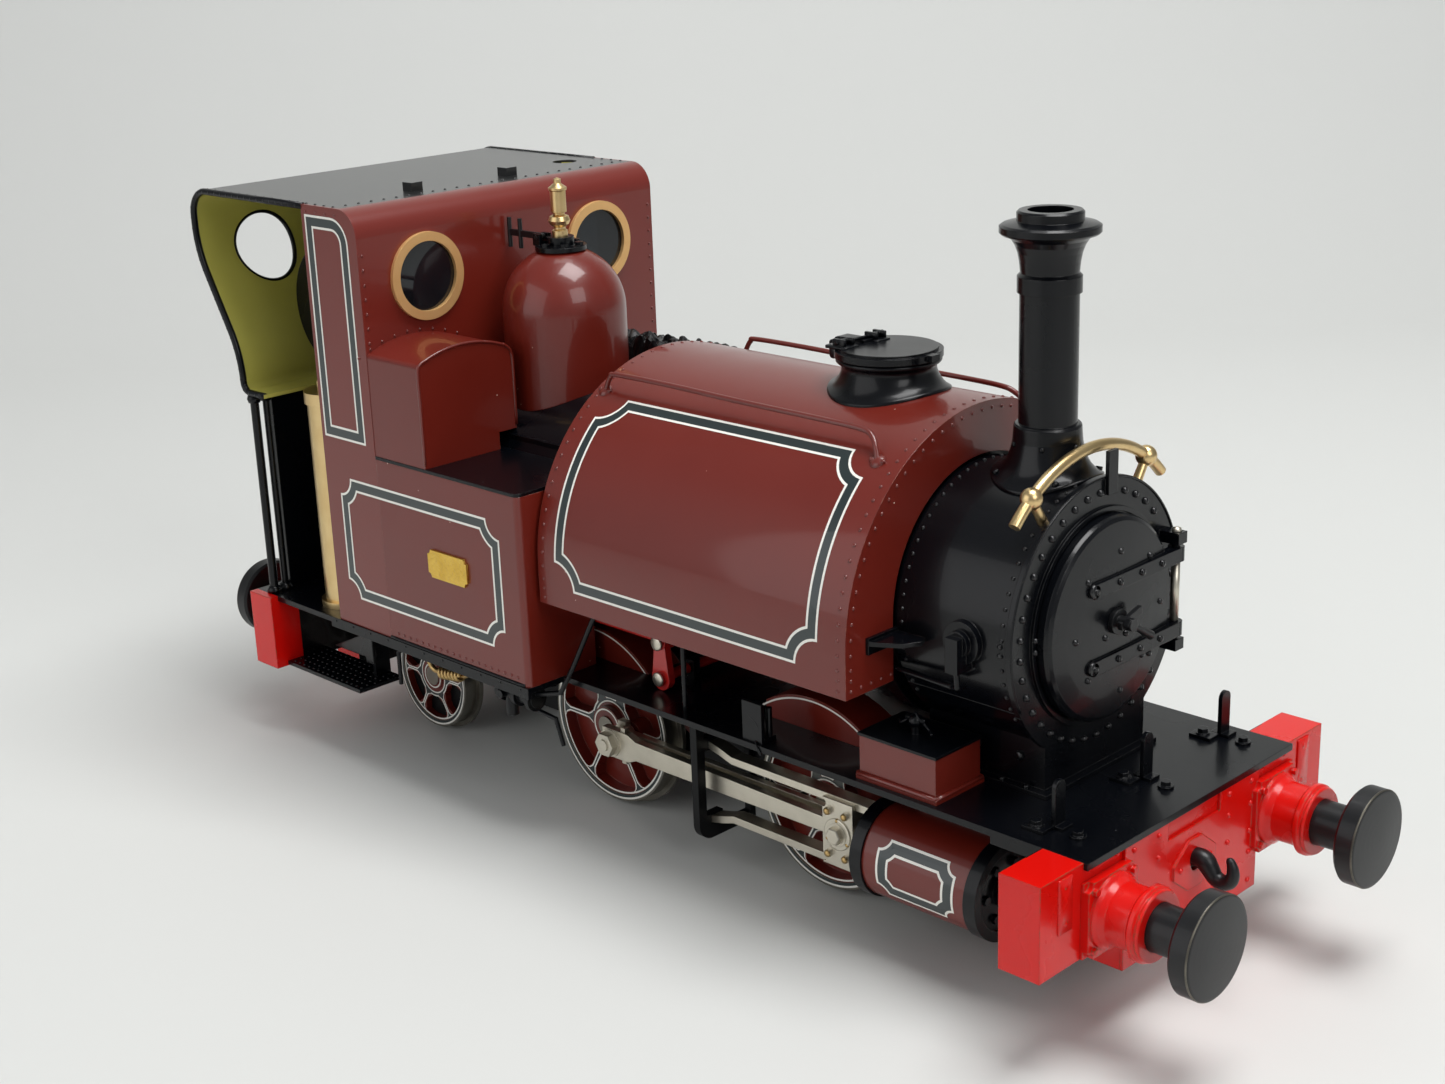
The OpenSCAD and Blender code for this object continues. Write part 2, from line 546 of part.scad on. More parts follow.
// Outline of the smokebox and its saddle in Y and Z
module smoke_outline(r) {
  translate([0, boiler_z]) circle(r, $fn = 120);
  polygon([[-17, deck_z], [17, deck_z], [17, boiler_z - 21.6], [0.87 * r, boiler_z - 0.5 * r],
    [-0.87 * r, boiler_z - 0.5 * r], [-17, boiler_z - 21.6]]);
}
module smokebox() color("#26272a") {
  r_in = smoke_r - smoke_t;
  difference() {
    union() {
      ex(tank_x1, smoke_x - 1.2) smoke_outline(smoke_r);
      ex(smoke_x - 1.2, smoke_x) smoke_outline(smoke_r + 0.8);
      cx(smoke_x, smoke_x + 0.7, door_r + 1.3, 0, boiler_z);
      bx(smoke_x, smoke_x + 0.9, 1.5, 4.5, boiler_z + smoke_r - 3, boiler_z + smoke_r + 5.8);
      // shelves beside the tank
      both() {
        bx(tank_x1, tank_x1 + 0.8, smoke_r - 1, smoke_r + 9, boiler_z - 4.4, boiler_z - 1);
        translate([tank_x1, 0, boiler_z - 2.6]) linear_extrude(0.9)
          polygon([[0, smoke_r - 1.2], [7, smoke_r - 1.2], [8.4, smoke_r + 2], [6.6, smoke_r + 5.4],
            [0.4, smoke_r + 9], [0, smoke_r + 9]]);
      }
      // blower connection on the right side
      cy(-smoke_r - 1.4, 2 - smoke_r, 4.3, chim_x + 1.2, boiler_z, 48);
      cy(-smoke_r - 2.6, 2 - smoke_r, 2.6, chim_x + 1.2, boiler_z, 36);
      bx(chim_x - 0.3, chim_x + 2.7, -smoke_r - 4.2, 1 - smoke_r, boiler_z - 5.6, boiler_z + 1.6);
      pipe([[chim_x + 1.2, -smoke_r - 2.6, boiler_z - 5], [chim_x + 1.2, -smoke_r - 2.2, boiler_z - 9],
        [chim_x - 1, -smoke_r - 1, boiler_z - 9.8], [tank_x1 - 2.3, 0.4 - smoke_r, boiler_z - 9.8]], 0.6);
      bx(smoke_x - 24, smoke_x + 2, -19, 19, deck_z, deck_z + 1);
      for (z = [boiler_z - strap_z - 4.6, boiler_z + strap_z + 2.2]) difference() {
        bx(smoke_x, hinge_x + 1.6, hinge_y - 1.6, hinge_y + 1.4, z, z + 2.4);
        cz(z - 1, z + 4, 0.85, hinge_x, hinge_y, 24);
      }
    }
    cx(tank_x1 + 1.5, smoke_x - 2.4, r_in, 0, boiler_z);
    cx(smoke_x - 3, smoke_x + 1, door_r - 1.4, 0, boiler_z);
    cx(smoke_x, smoke_x + 1, door_r + 0.3, 0, boiler_z);
    cz(boiler_z, boiler_z + 40, chim_bore, chim_x, 0, 48);
    bx(tank_x1 + 3, smoke_x - 3, -14, 14, deck_z + 1.6, boiler_z - r_in - 2);
  }
}
module smokebox_door() color("#26272a") {
  difference() {
    union() {
      translate([smoke_x + 0.1, 0, boiler_z]) rotate([0, 90, 0]) rotate_extrude($fn = 96)
        polygon(concat([[0, 0], [door_r, 0], [door_r, door_h - 1.1], [door_r - 0.35, door_h - 0.4]],
          [for (i = [0:5]) let (r = (door_r - 1.1) * (1 - i / 5)) [r, door_h + 0.8 * (1 - pow(r / door_r, 2))]]));
      for (k = [-1, 1]) {
        z = boiler_z + k * strap_z;
        bx(smoke_x + door_h - 1, smoke_x + door_h + 1.5, -7.5, hinge_y - 0.6, z - 1.5, z + 1.5);
        cz(z - 1.5, z + 1.5, 1.7, hinge_x, hinge_y, 32);
        for (y = [-7.5, 0.5, 8, 15]) translate([smoke_x + door_h + 1.4, y, z]) rotate([0, 90, 0])
          cylinder(r = 0.65, h = 0.5, $fn = 20);
      }
    }
    cx(smoke_x, smoke_x + 6, 1.3 + fit, 0, boiler_z, 32);
  }
  cz(boiler_z - strap_z - 4.4, boiler_z + strap_z + 4.4, 0.8, hinge_x, hinge_y, 24);
}
// Dart spindle with its two handles
module door_dart() color("#3a3b3d") {
  d = smoke_x + door_h;
  cx(smoke_x + 0.1, d + 5.2, 1.3, 0, boiler_z, 32);
  cx(d + 0.9, d + 1.9, 2.6, 0, boiler_z, 32);
  translate([d + 2.4, 0, boiler_z]) rotate([14, 0, 0]) bx(0, 1, -1.6, 5.6, -0.8, 0.8);
  translate([d + 3.9, 0, boiler_z]) rotate([-31, 0, 0]) bx(0, 1, -1.6, 2, -0.8, 0.8);
  translate([d + 4.4, 0, boiler_z]) rotate([-121, 0, 0]) cylinder(r1 = 0.55, r2 = 0.95, h = 8.2, $fn = 24);
}
module chimney() color("#26272a") difference() {
  top = chim_top;
  union() {
    // thin saddle flange draped over the smokebox
    intersection() {
      cz(boiler_z, boiler_z + smoke_r + 2, chim_r + 5.2, chim_x, 0);
      cx(chim_x - 14, chim_x + 14, smoke_r + 0.5, 0, boiler_z, 120);
    }
    translate([chim_x, 0, 0]) rotate_extrude($fn = seg) polygon(concat([[0, boiler_z + smoke_r - 6]],
      [for (q = [[4.4, -6], [4.4, -2.6], [3.5, -1], [2.6, 0.6], [1.9, 2.4], [1.4, 4.4], [1.1, 6.6], [0.9, 9.4],
        [0.6, 9.9], [0, 10]]) [chim_r + q[0], boiler_z + smoke_r + q[1]]],
      [
       [chim_r, top - 15.8], [chim_r + 0.5, top - 15.8], [chim_r + 0.5, top - 12.6],
       [chim_r - 0.1, top - 12]],
      [for (a = [15:15:75]) [chim_r + 3.4 - 3.4 * cos(a), top - 11.6 + 7 * sin(a)]],
      [[chim_r + 3.6, top - 4.6], [chim_r + 4, top - 4.2], [chim_r + 4, top - 3],
       [chim_r + 3.4, top - 2.6], [chim_r + 0.7, top - 2], [chim_r + 0.7, top - 0.4],
       [chim_r + 0.3, top], [0, top]]));
  }
  cx(tank_x1, smoke_x + 10, smoke_r, 0, boiler_z, 120);
  cz(boiler_z, top + 1, chim_bore, chim_x, 0, 48);
}

// ---- saddle tank ----
module tank_outline(d) {
  translate([0, tcy]) circle(tank_hw - d, $fn = 144);
  translate([-tank_hw + d, tank_z0]) square([2 * (tank_hw - d), tcy - tank_z0]);
}
module saddle_tank() color("#7a2a20") difference() {
  ex(tank_x0, tank_x1) difference() {
    intersection() {
      tank_outline(0);
      translate([-60, tank_z0]) square([120, 100]);
    }
    translate([0, boiler_z]) circle(arch_r, $fn = 120);
    translate([-arch_r, tank_z0 - 1]) square([2 * arch_r, boiler_z - tank_z0 + 1]);
  }
  cz(boiler_z + arch_r + 2.4, tank_top + 5, lid_r - 2.6, fill_x, 0);
}
// Turned filler neck
module tank_filler() color("#26272a") { tank_neck(); tank_filler_ears(); }
module tank_neck() difference() {
  zb = tank_top;
  translate([fill_x, 0, 0]) rotate_extrude($fn = seg) polygon(concat([[lid_r - 2.6, zb - 6],
    [lid_r + 2.2, zb - 6], [lid_r + 2.2, zb + 0.7], [lid_r + 1, zb + 1.3]],
    [for (a = [0:18:90]) [lid_r + 0.6 - 2.2 * sin(a), zb + 1.8 + 2.4 * (1 - cos(a))]],
    [for (a = [18:18:90]) [lid_r - 1.6 + 1.2 * (1 - cos(a)), zb + 4.2 + 2 * sin(a)]],
    [[lid_r - 2.6, zb + 6.2]]));
  ex(tank_x0, tank_x1) tank_outline(-0.02);
}
module tank_filler_ears() {
  both() {
    bx(lid_hx - 1.4, lid_hx + 0.7, 1.9, 3.1, lid_z - 2, lid_z + 2.1);
    bx(lid_hx, lid_hx + 3.4, 1.9, 3.1, lid_z - 2, lid_z - 0.3);
  }
  cy(-3.1, 3.1, 0.8, lid_hx, lid_z + 1.1, 24);
}
lid_z = tank_top + 6.4;
lid_hx = fill_x - lid_r - 1.2;
module filler_lid() color("#26272a") difference() {
  union() {
    cz(lid_z, lid_z + 1.4, lid_r, fill_x, 0);
    cz(lid_z + 1.4, lid_z + 1.9, lid_r - 1, fill_x, 0);
    bx(lid_hx, fill_x - lid_r + 6, -1.6, 1.6, lid_z + 0.4, lid_z + 2.6);
    cy(-1.6, 1.6, 1.5, lid_hx, lid_z + 1.1, 32);
    bx(fill_x + lid_r - 1.5, fill_x + lid_r + 1.2, -1.3, 1.3, lid_z + 0.2, lid_z + 1.6);
  }
  cy(-3, 3, 0.8 + fit, lid_hx, lid_z + 1.1, 24);
}
module tank_handrails() color("#7a2a20") {
  ry = 22.4; r = 0.6; rise = 3.4; splay = 2.6;
  rz = tcy + sqrt(pow(tank_hw, 2) - pow(ry, 2)) + rise;
  fz = tcy + sqrt(pow(tank_hw, 2) - pow(ry + splay, 2));
  x0 = tank_x0 + 4; x1 = tank_x1 - 8.8;
  both() difference() {
    union() {
      pipe([[x0 + 2.2, ry + splay, fz - 1], [x0, ry, rz], [x1, ry, rz - 1.6],
        [x1 + 3.6, ry + splay, fz - 1]], r);
      for (x = [x0 + 2, x1 + 3.3]) translate([x, ry + splay, fz]) sphere(1.2, $fn = 28);
    }
    ex(tank_x0, tank_x1) tank_outline(-0.02);
  }
}

// ---- dome and valve ----
dome_top = dome_z + sqrt(dome_r * dome_r - 25);
module dome() color("#7a2a20") difference() {
  union() {
    cz(bunk_z, dome_z, dome_r, dome_x, 0, 96);
    translate([dome_x, 0, dome_z]) sphere(dome_r, $fn = 96);
  }
  cz(dome_top, dome_z + 30, dome_r, dome_x, 0);
  cx(cab_x1 - 20, bunk_x1, boiler_r, 0, boiler_z);
}
module dome_flange() color("#26272a") difference() {
  union() {
    cz(dome_top, dome_top + 1.1, 6.2, dome_x, 0, 48);
    cz(dome_top + 1, dome_top + 3.2, 3.3, dome_x, 0, 40);
    for (i = [0:5]) rotate_z(i * 60 + 30) hexz(dome_x + 4.7, 0, dome_top + 1);
    for (k = [-1, 1]) bx(dome_x - 5.4, dome_x - 3, -2.2 + 1.4 * k - 0.5, -2.2 + 1.4 * k + 0.5,
      dome_top + 1, dome_top + 3.8);
  }
  cy(-6, 2, 0.55, dome_x - 4.2, dome_top + 3, 20);
  cz(dome_top + 1.6, dome_top + 4, 1.5, dome_x, 0, 32);
}
module rotate_z(a) translate([dome_x, 0, 0]) rotate([0, 0, a]) translate([-dome_x, 0, 0]) children();
module safety_valve() color("#c8a565") translate([dome_x, 0, dome_top + 3.2]) {
  translate([0, 0, -1.6]) cylinder(r = 1.5, h = 1.7, $fn = 32);
  rotate_extrude($fn = 48)
  polygon([[0, 0], [1.9, 0], [1.9, 1.4], [1.4, 1.8], [1.4, 2.2], [2.3, 2.9], [2.7, 3.8], [2.3, 4.8],
    [1.4, 5.2], [1.4, 5.6], [1.9, 5.8], [1.9, 10.8], [2.2, 11], [2.2, 11.6], [1.4, 12.2], [0.9, 12.6],
    [0.9, 13.6], [0, 14]]);
}
module valve_arm() color("#26272a") {
  x = dome_x - 4.2; z = dome_top + 3;
  bx(x - 12.4, x, -2.6, -1.8, z - 0.7, z + 0.8);
  cy(-2.6, -1.8, 0.8, x, z, 28);
  cy(-4.2, -0.2, 0.5, x, z, 20);
  for (d = [8, 12]) cz(z - 3.6, z + 3.6, 0.55, x - d, -2.2, 20);
}

// ---- cab ----
module cab_front() color("#7a2a20") difference() {
  union() {
    both() ey(cab_hw - 0.8, cab_hw) difference() {
      translate([door_x, deck_z]) square([cab_x1 - door_x, roof_z - deck_z]);
      difference() {
        translate([cab_x1 - corner_r, roof_z - corner_r]) square([corner_r + 1, corner_r + 1]);
        translate([cab_x1 - corner_r, roof_z - corner_r]) circle(corner_r, $fn = 96);
      }
    }
    ey(-cab_hw + 0.8, cab_hw - 0.8) {
      arc([cab_x1 - corner_r, roof_z - corner_r], corner_r - sheet_t, corner_r, 0, 90);
      translate([cab_x1 - sheet_t, bunk_z]) square([sheet_t, roof_z - corner_r - bunk_z]);
    }
  }
  cx(cab_x1 - 5, cab_x1 + 5, boiler_r + 0.02, 0, boiler_z);
  both() cx(cab_x1 - 5, cab_x1 + 5, port_r, port_y, port_z);
}
// Roof and back in one sheet, swept in to the waist
module back_profile() {
  t = sheet_t;
  translate([cab_x0 + roof_r, roof_z - t]) square([cab_x1 - corner_r - cab_x0 - roof_r, t]);
  arc([cab_x0 + roof_r, roof_z - roof_r], roof_r - t, roof_r, 90, 180);
  translate([cab_x0, s_z]) square([t, roof_z - roof_r - s_z]);
  arc([cab_x0 + s_r, s_z], s_r - t, s_r, 180, 180 + s_a);
  polygon([p1, p2, p2 + t * [cos(s_a), sin(s_a)], p1 + t * [cos(s_a), sin(s_a)]]);
  arc(c2, s_r, s_r + t, 0, s_a);
  arc([back_x + curl_r, c2[1]], curl_r - t, curl_r, 180, 270);
  translate([back_x + curl_r, waist_z]) square([7, t]);
}
module cab_roof() color("#2c2d2e") difference() {
  union() {
    ey(-cab_hw + 0.8, cab_hw - 0.8) back_profile();
    both() ey(cab_hw - 0.8, cab_hw) intersection() {
      back_profile();
      translate([cab_x0 - 1, waist_z - 1]) square([door_x - cab_x0 + 1, 60]);
    }
    for (y = [-18.4, 11.2]) bx(cab_x1 - 16.4, cab_x1 - 12.9, y - 1.7, y + 1.7, roof_z, roof_z + 2.2);
  }
  both() cx(cab_x0 - 5, cab_x0 + 20, port_r + 0.2, port_y, port_z + 0.7);
  cz(roof_z - 5, roof_z + 5, 3.2, cab_x1 - 22, 36.7, 40);
}
module cab_pillars() color("#26272a") {
  both() {
    cz(deck_z, waist_z, 1.1, back_x + 3.4, cab_hw - 1.2, 28);
    cz(deck_z, waist_z, 0.9, back_x + 3.4, cab_hw - 4.6, 28);
    for (z = [deck_z, waist_z - 1]) cz(z, z + 1, 2, back_x + 3.4, cab_hw - 2.2, 28);
  }
  bx(back_x + 2.8, back_x + 3.8, -cab_hw + 6, cab_hw - 6, deck_z, waist_z);
}
module porthole_rims() color("#c8a565") both() difference() {
  cx(cab_x1, cab_x1 + 1, port_r + 1.9, port_y, port_z);
  cx(cab_x1 - 1, cab_x1 + 2, port_r - 0.3, port_y, port_z);
}
module porthole_glass() color("#2b3036") both() cx(cab_x1 - 0.9, cab_x1 - 0.1, port_r - 0.02, port_y, port_z);

module bunkers() color("#7a2a20") both() difference() {
  bx(cab_x1, bunk_x1, bunk_y0, cab_hw, deck_z, bunk_z - 0.8);
  difference() {
    bx(bunk_x1 - 1.5, bunk_x1 + 1, cab_hw - 1.5, cab_hw + 1, deck_z - 1, bunk_z);
    cz(deck_z - 2, bunk_z + 1, 1.5, bunk_x1 - 1.5, cab_hw - 1.5, 40);
  }
}
module bunker_tops() color("#232427") both() difference() {
  bx(cab_x1, bunk_x1, 18, cab_hw, bunk_z - 0.8, bunk_z);
  cx(cab_x1 - 1, bunk_x1 + 1, boiler_r + 0.02, 0, boiler_z);
  difference() {
    bx(bunk_x1 - 1.5, bunk_x1 + 1, cab_hw - 1.5, cab_hw + 1, deck_z - 1, bunk_z + 1);
    cz(deck_z - 2, bunk_z + 2, 1.5, bunk_x1 - 1.5, cab_hw - 1.5, 40);
  }
}
// Blank cast plates with scooped corners
module side_plates() color("#c8a04c") both() ey(cab_hw, cab_hw + 0.6) difference() {
  translate([cab_x1 + 18.3, bunk_z - 26]) square([14.4, 6.8]);
  for (x = [cab_x1 + 18.3, cab_x1 + 32.7], z = [bunk_z - 26, bunk_z - 19.2]) translate([x, z]) circle(1.1, $fn = 24);
}
module tool_box() color("#7a2a20") difference() {
  ya = -cab_hw + 0.1; yb = ya + 27.9; ym = ya + 13.4;
  za = bunk_z - 4.1; ra = 31.5;
  // rounded corners tangent to the crowned top
  ro = 1.2; dyo = ym - ya - ro; dzo = sqrt(pow(ra - ro, 2) - dyo * dyo);
  ri = 2.2; dyi = yb - ym - ri; dzi = sqrt(pow(ra - ri, 2) - dyi * dyi);
  ex(cab_x1, -50) intersection() {
    translate([ya, bunk_z]) square([yb - ya, 40]);
    translate([ym, za]) circle(ra, $fn = 160);
    union() {
      translate([ya, bunk_z]) square([yb - ya, za + min(dzo, dzi) - bunk_z]);
      translate([ym - dyo * ra / (ra - ro), bunk_z]) square([(dyo / (ra - ro) + dyi / (ra - ri)) * ra, 40]);
      translate([ym - dyo, za + dzo]) circle(ro, $fn = 36);
      translate([ym + dyi, za + dzi]) circle(ri, $fn = 36);
      translate([ya, bunk_z]) square([ro, za + dzo - bunk_z]);
    }
  }
  cx(cab_x1 - 1, -49, boiler_r + 0.02, 0, boiler_z);
  bx(cab_x1 - 2, -48, -24, -17, 80, bunk_z + 4.2);
}
// Heap of coal: a height field with a level base
module coal() color("#1b1b1c") {
  nx = 18; ny = 8;
  x0 = cab_x1 + 0.6; x1 = bunk_x1 - 1.4; y0 = 23.2; y1 = cab_hw - 1;
  q = rands(-1, 1, (nx + 1) * (ny + 1), 7);
  p = [for (j = [0:ny], i = [0:nx]) let (u = i / nx, v = j / ny,
    e = (i == 0 || i == nx || j == 0 || j == ny) ? 0.25 : 1)
    [x0 + u * (x1 - x0), y0 + v * (y1 - y0),
     bunk_z + e * (4 + 13.5 * pow(sin(180 * u), 0.5) * pow(sin(180 * min(v + 0.12, 1)), 0.6)
       + 1.5 * q[j * (nx + 1) + i])]];
  b = [for (j = [0:ny], i = [0:nx]) [x0 + (x1 - x0) * i / nx, y0 + (y1 - y0) * j / ny, bunk_z]];
  n = (nx + 1) * (ny + 1);
  top = [for (j = [0:ny - 1], i = [0:nx - 1]) let (a = j * (nx + 1) + i) each
    [[a, a + nx + 1, a + 1], [a + 1, a + nx + 1, a + nx + 2]]];
  bot = [for (j = [0:ny - 1], i = [0:nx - 1]) let (a = n + j * (nx + 1) + i) each
    [[a, a + 1, a + nx + 1], [a + 1, a + nx + 2, a + nx + 1]]];
  rim = concat([for (i = [0:nx]) i], [for (j = [1:ny]) j * (nx + 1) + nx],
    [for (i = [nx - 1:-1:0]) ny * (nx + 1) + i], [for (j = [ny - 1:-1:1]) j * (nx + 1)]);
  side = [for (k = [0:len(rim) - 1]) let (a = rim[k], c = rim[(k + 1) % len(rim)]) each
    [[a, c, n + a], [c, n + c, n + a]]];
  polyhedron(concat(p, b), concat(top, bot, side));
}
module lubricator() color("#c8a565") translate([door_x - 9.4, 9.5 - cab_hw, deck_z]) {
  cylinder(r = 7, h = 1.6, $fn = 60);
  translate([0, 0, 1.5]) cylinder(r = 5.9, h = 52, $fn = 60);
  translate([0, 0, 53]) cylinder(r = 6.5, h = 3, $fn = 60);
  translate([0, 0, 56]) cylinder(r = 3, h = 2.4, $fn = 6);
}
module gas_tank() color("#26272a") {
  cy(-28, 28, drum_r, drum_x, drum_z);
  for (y = [-20, 18]) bx(drum_x - 3, drum_x + 3, y, y + 2, drum_z, roof_z - sheet_t);
  cz(drum_z - drum_r - 3.4, drum_z - drum_r + 2, 2.2, drum_x, 0, 32);
}
module gas_valve() color("#c8a565") {
  z = drum_z - drum_r - 3.4;
  cz(z - 3.4, z - 0.1, 1.2, drum_x, 0, 24);
  translate([drum_x, 0, z - 5.4]) difference() {
    cylinder(r = 4, h = 2.2, $fn = 48);
    for (i = [0:11]) rotate(i * 30) translate([4.3, 0, -1]) cylinder(r = 0.6, h = 5, $fn = 16);
  }
}
module regulator() color("#b9b8b2") {
  x = cab_x1 - 10.6;
  translate([x, 0, boiler_z + 14]) {
    cx(-4.4, 2.4, 1.4, 0, 0, 28);
    cx(-3.4, -1.4, 2.4, 0, 0, 36);
    bx(-4.4, -3, -1, 15, -1, 1);
    cx(-9, -3.2, 1.2, 14.4, 0, 28);
  }
}
module reversing_lever() color("#b9b8b2") translate([rev_x, 0, ws_z]) difference() {
  union() {
    cy(reach_y - 3, reach_y - 1, 2.6, 0, 0, 36);
    cy(reach_y - 3, reach_y + 3.2, 1.2, 0, 0, 28);
    ey(reach_y - 3, reach_y - 1) polygon([[-1.6, 0], [1.6, 0], [1, 46], [-1, 46]]);
    translate([0, reach_y - 2, 47]) sphere(2.4, $fn = 36);
    cy(reach_y - 2, reach_y + 1.3, 0.9, 0, arm_l, 24);
  }
}
module reach_rod() color("#c4251c") difference() {
  union() {
    bx(rev_x, ws_x, reach_y - 0.8, reach_y + 0.8, ws_z + arm_l - 1.1, ws_z + arm_l + 1.1);
    for (x = [rev_x, ws_x]) cy(reach_y - 0.8, reach_y + 0.8, 2.1, x, ws_z + arm_l, 32);
  }
  for (x = [rev_x, ws_x]) cy(reach_y - 2, reach_y + 2, 0.9 + fit, x, ws_z + arm_l, 24);
}
module weighshaft() color("#c4251c") translate([ws_x, 0, ws_z]) {
  cy(reach_y - 2.9, 15, 1.2, 0, 0, 28);
  ey(reach_y - 2.9, reach_y - 1.1) {
    polygon([[-2.8, -0.6], [2.8, -0.6], [1.6, arm_l], [-1.6, arm_l]]);
    translate([0, arm_l]) circle(1.9, $fn = 32);
    circle(2.8, $fn = 36);
  }
  cy(reach_y - 3.5, reach_y + 1.3, 0.9, 0, arm_l, 24);
  hexy(reach_y - 3.6, reach_y - 2.9, 1.7, 0, arm_l);
  hexy(reach_y - 3.6, reach_y - 2.9, 1.7, 0, 0);
}

// ---- platform ----
module sandboxes() color("#7a2a20") both() {
  bx(sand_x, sand_x + 19.6, sand_y0, sand_y, deck_z + 1, deck_z + 9.4);
  bx(sand_x - 0.6, sand_x + 20.2, sand_y0 - 0.6, sand_y + 0.6, deck_z, deck_z + 1);
}
// Splashers over the driving wheels, closed round top and outer side
module splasher(x, x0, x1) difference() {
  ey(fy1, spl_y) intersection() {
    translate([x, axle_z]) circle(spl_r, $fn = 120);
    translate([x0, deck_z]) square([x1 - x0, 30]);
  }
  ey(fy1 - 1, spl_y - 0.9) intersection() {
    translate([x, axle_z]) circle(spl_r - 0.9, $fn = 120);
    translate([x0 + 1, deck_z - 1]) square([x1 - x0 - 2, 30]);
  }
}
module splashers() color("#7a2a20") both() {
  splasher(rear_x, rear_x - 20, rear_x + 20);
  splasher(front_x, front_x - slot_hl - 0.6, front_x + 20);
}
module platform_fittings() color("#26272a") {
  // sandbox lids
  both() {
    bx(sand_x - 0.3, sand_x + 19.9, sand_y0 - 0.3, sand_y + 0.3, deck_z + 9.4, deck_z + 10);
    cz(deck_z + 10, deck_z + 12.4, 1, sand_x + 8.9, (sand_y0 + sand_y) / 2, 24);
    translate([sand_x + 8.9, (sand_y0 + sand_y) / 2, deck_z + 12.6]) sphere(1.5, $fn = 28);
  }
  // lamp irons, their foot plates and the bolts round them
  for (q = [[-26.6, -30], [2.8, -1.2], [31.2, 27.6]]) {
    difference() {
      bx(beam_x - 13, beam_x - 12.1, q[0] - 1.6, q[0] + 1.6, deck_z, deck_z + 9.8);
      translate([beam_x - 14, q[0], deck_z + 8.2]) rotate([90, 0, 90]) linear_extrude(3) difference() {
        translate([-2, 0]) square([4, 4]);
        circle(1.6, $fn = 28);
      }
    }
    bx(beam_x - 14.6, beam_x - 10.4, q[0] - 1.6, q[0] + 1.6, deck_z, deck_z + 0.7);
    bx(beam_x - 17.4, beam_x - 12.4, q[1] - 1.8, q[1] + 1.8, deck_z, deck_z + 0.7);
    cz(deck_z + 0.7, deck_z + 1, 1.5, beam_x - 15.2, q[1], 24);
    hexz(beam_x - 15.2, q[1], deck_z + 1, 1.2, 0.9);
    cz(deck_z, deck_z + 0.5, 1.6, beam_x - 7, q[0] - 1.4, 24);
    hexz(beam_x - 7, q[0] - 1.4, deck_z + 0.5, 1.1, 0.9);
  }
  // weighshaft bearings and reversing lever stand
  for (y = [-19.4, 12.4]) difference() {
    bx(ws_x - 2.2, ws_x + 2.2, y, y + 2, deck_z, ws_z + 2.2);
    cy(y - 1, y + 3, 1.2 + fit, ws_x, ws_z, 28);
  }
  difference() {
    bx(rev_x - 2.4, rev_x + 2.4, reach_y - 0.6, reach_y + 1.8, deck_z, ws_z + 2.4);
    cy(reach_y - 2, reach_y + 3, 1.2 + fit, rev_x, ws_z, 28);
  }
  // clip plate on the right edge with the two posts behind it
  bx(39.7, 45.3, -deck_hw + 0.6, -deck_hw + 1.5, deck_z, deck_z + 9);
  bx(39.7, 45.3, -deck_hw + 0.6, -deck_hw + 5, deck_z, deck_z + 1);
  for (x = [41, 44.4]) cz(deck_z + 1, deck_z + 7.4, 0.7, x, -deck_hw + 3.9, 24);
}
// Round bar through a list of points
module pipe(p, r, f = 20) {
  for (i = [0:len(p) - 2]) let (d = p[i + 1] - p[i], l = norm(d)) translate(p[i])
    rotate([0, acos(d[2] / l), atan2(d[1], d[0])]) cylinder(r = r, h = l, $fn = f);
  if (len(p) > 2) for (i = [1:len(p) - 2]) translate(p[i]) sphere(r + 0.04, $fn = 24);
}
module underframe() color("#26272a") {
  // steps below the cab
  both() {
    x0 = beam_t - beam_x; x1 = x0 + 32; y1 = cab_hw - 0.6; z1 = beam_z0 + 1.3;
    bx(x0, x1, y1 - 13, y1, z1 - 1, z1);
    bx(x1 - 5.4, x1 - 4.4, y1 - 13, y1 - 8.4, z1, deck_u);
  }
  // feed pipes
  fy = tank_hw - 3.8;
  both() {
    pipe([[-2.6, fy, tank_z0], [-2.6, fy, 57.6], [-4.4, fy, 54.6], [-10, fy, 45], [-15.4, fy, 36.6],
      [-25, fy, 33.6]], 0.6);
    pipe([[-36, fy, 33], [-59, fy, 33.4], [-66, fy, 35.6], [-66, fy, deck_u]], 0.6);
    pipe([[19.4, deck_hw - 3.4, deck_z], [19.4, deck_hw - 3.4, tank_z0]], 0.6);
    // injector with its overflow
    cx(-37, -24, 2, fy, 32.6, 36);
    for (x = [-36.4, -30.8, -25.6]) cx(x, x + 1.4, 2.9, fy, 32.6, 36);
    cz(26.6, 32.6, 1.5, -33.6, fy, 28);
    cz(32.6, deck_u, 1.5, -27.6, fy, 28);
    cy(fy - 4.4, fy + 3.6, 1, -33.6, 32.6, 24);
    pipe([[-30.1, fy, 32.6], [-27.4, fy - 1, 29.4], [-19.8, fy - 1.6, 28.4], [-18, fy - 2, 22]], 0.55);
    // drain below the step
    pipe([[-75, fy - 1, deck_u], [-75, fy - 1, 33], [-79.4, fy - 1, 30.6], [-79.4, fy - 1, 22]], 0.55);
  }
}
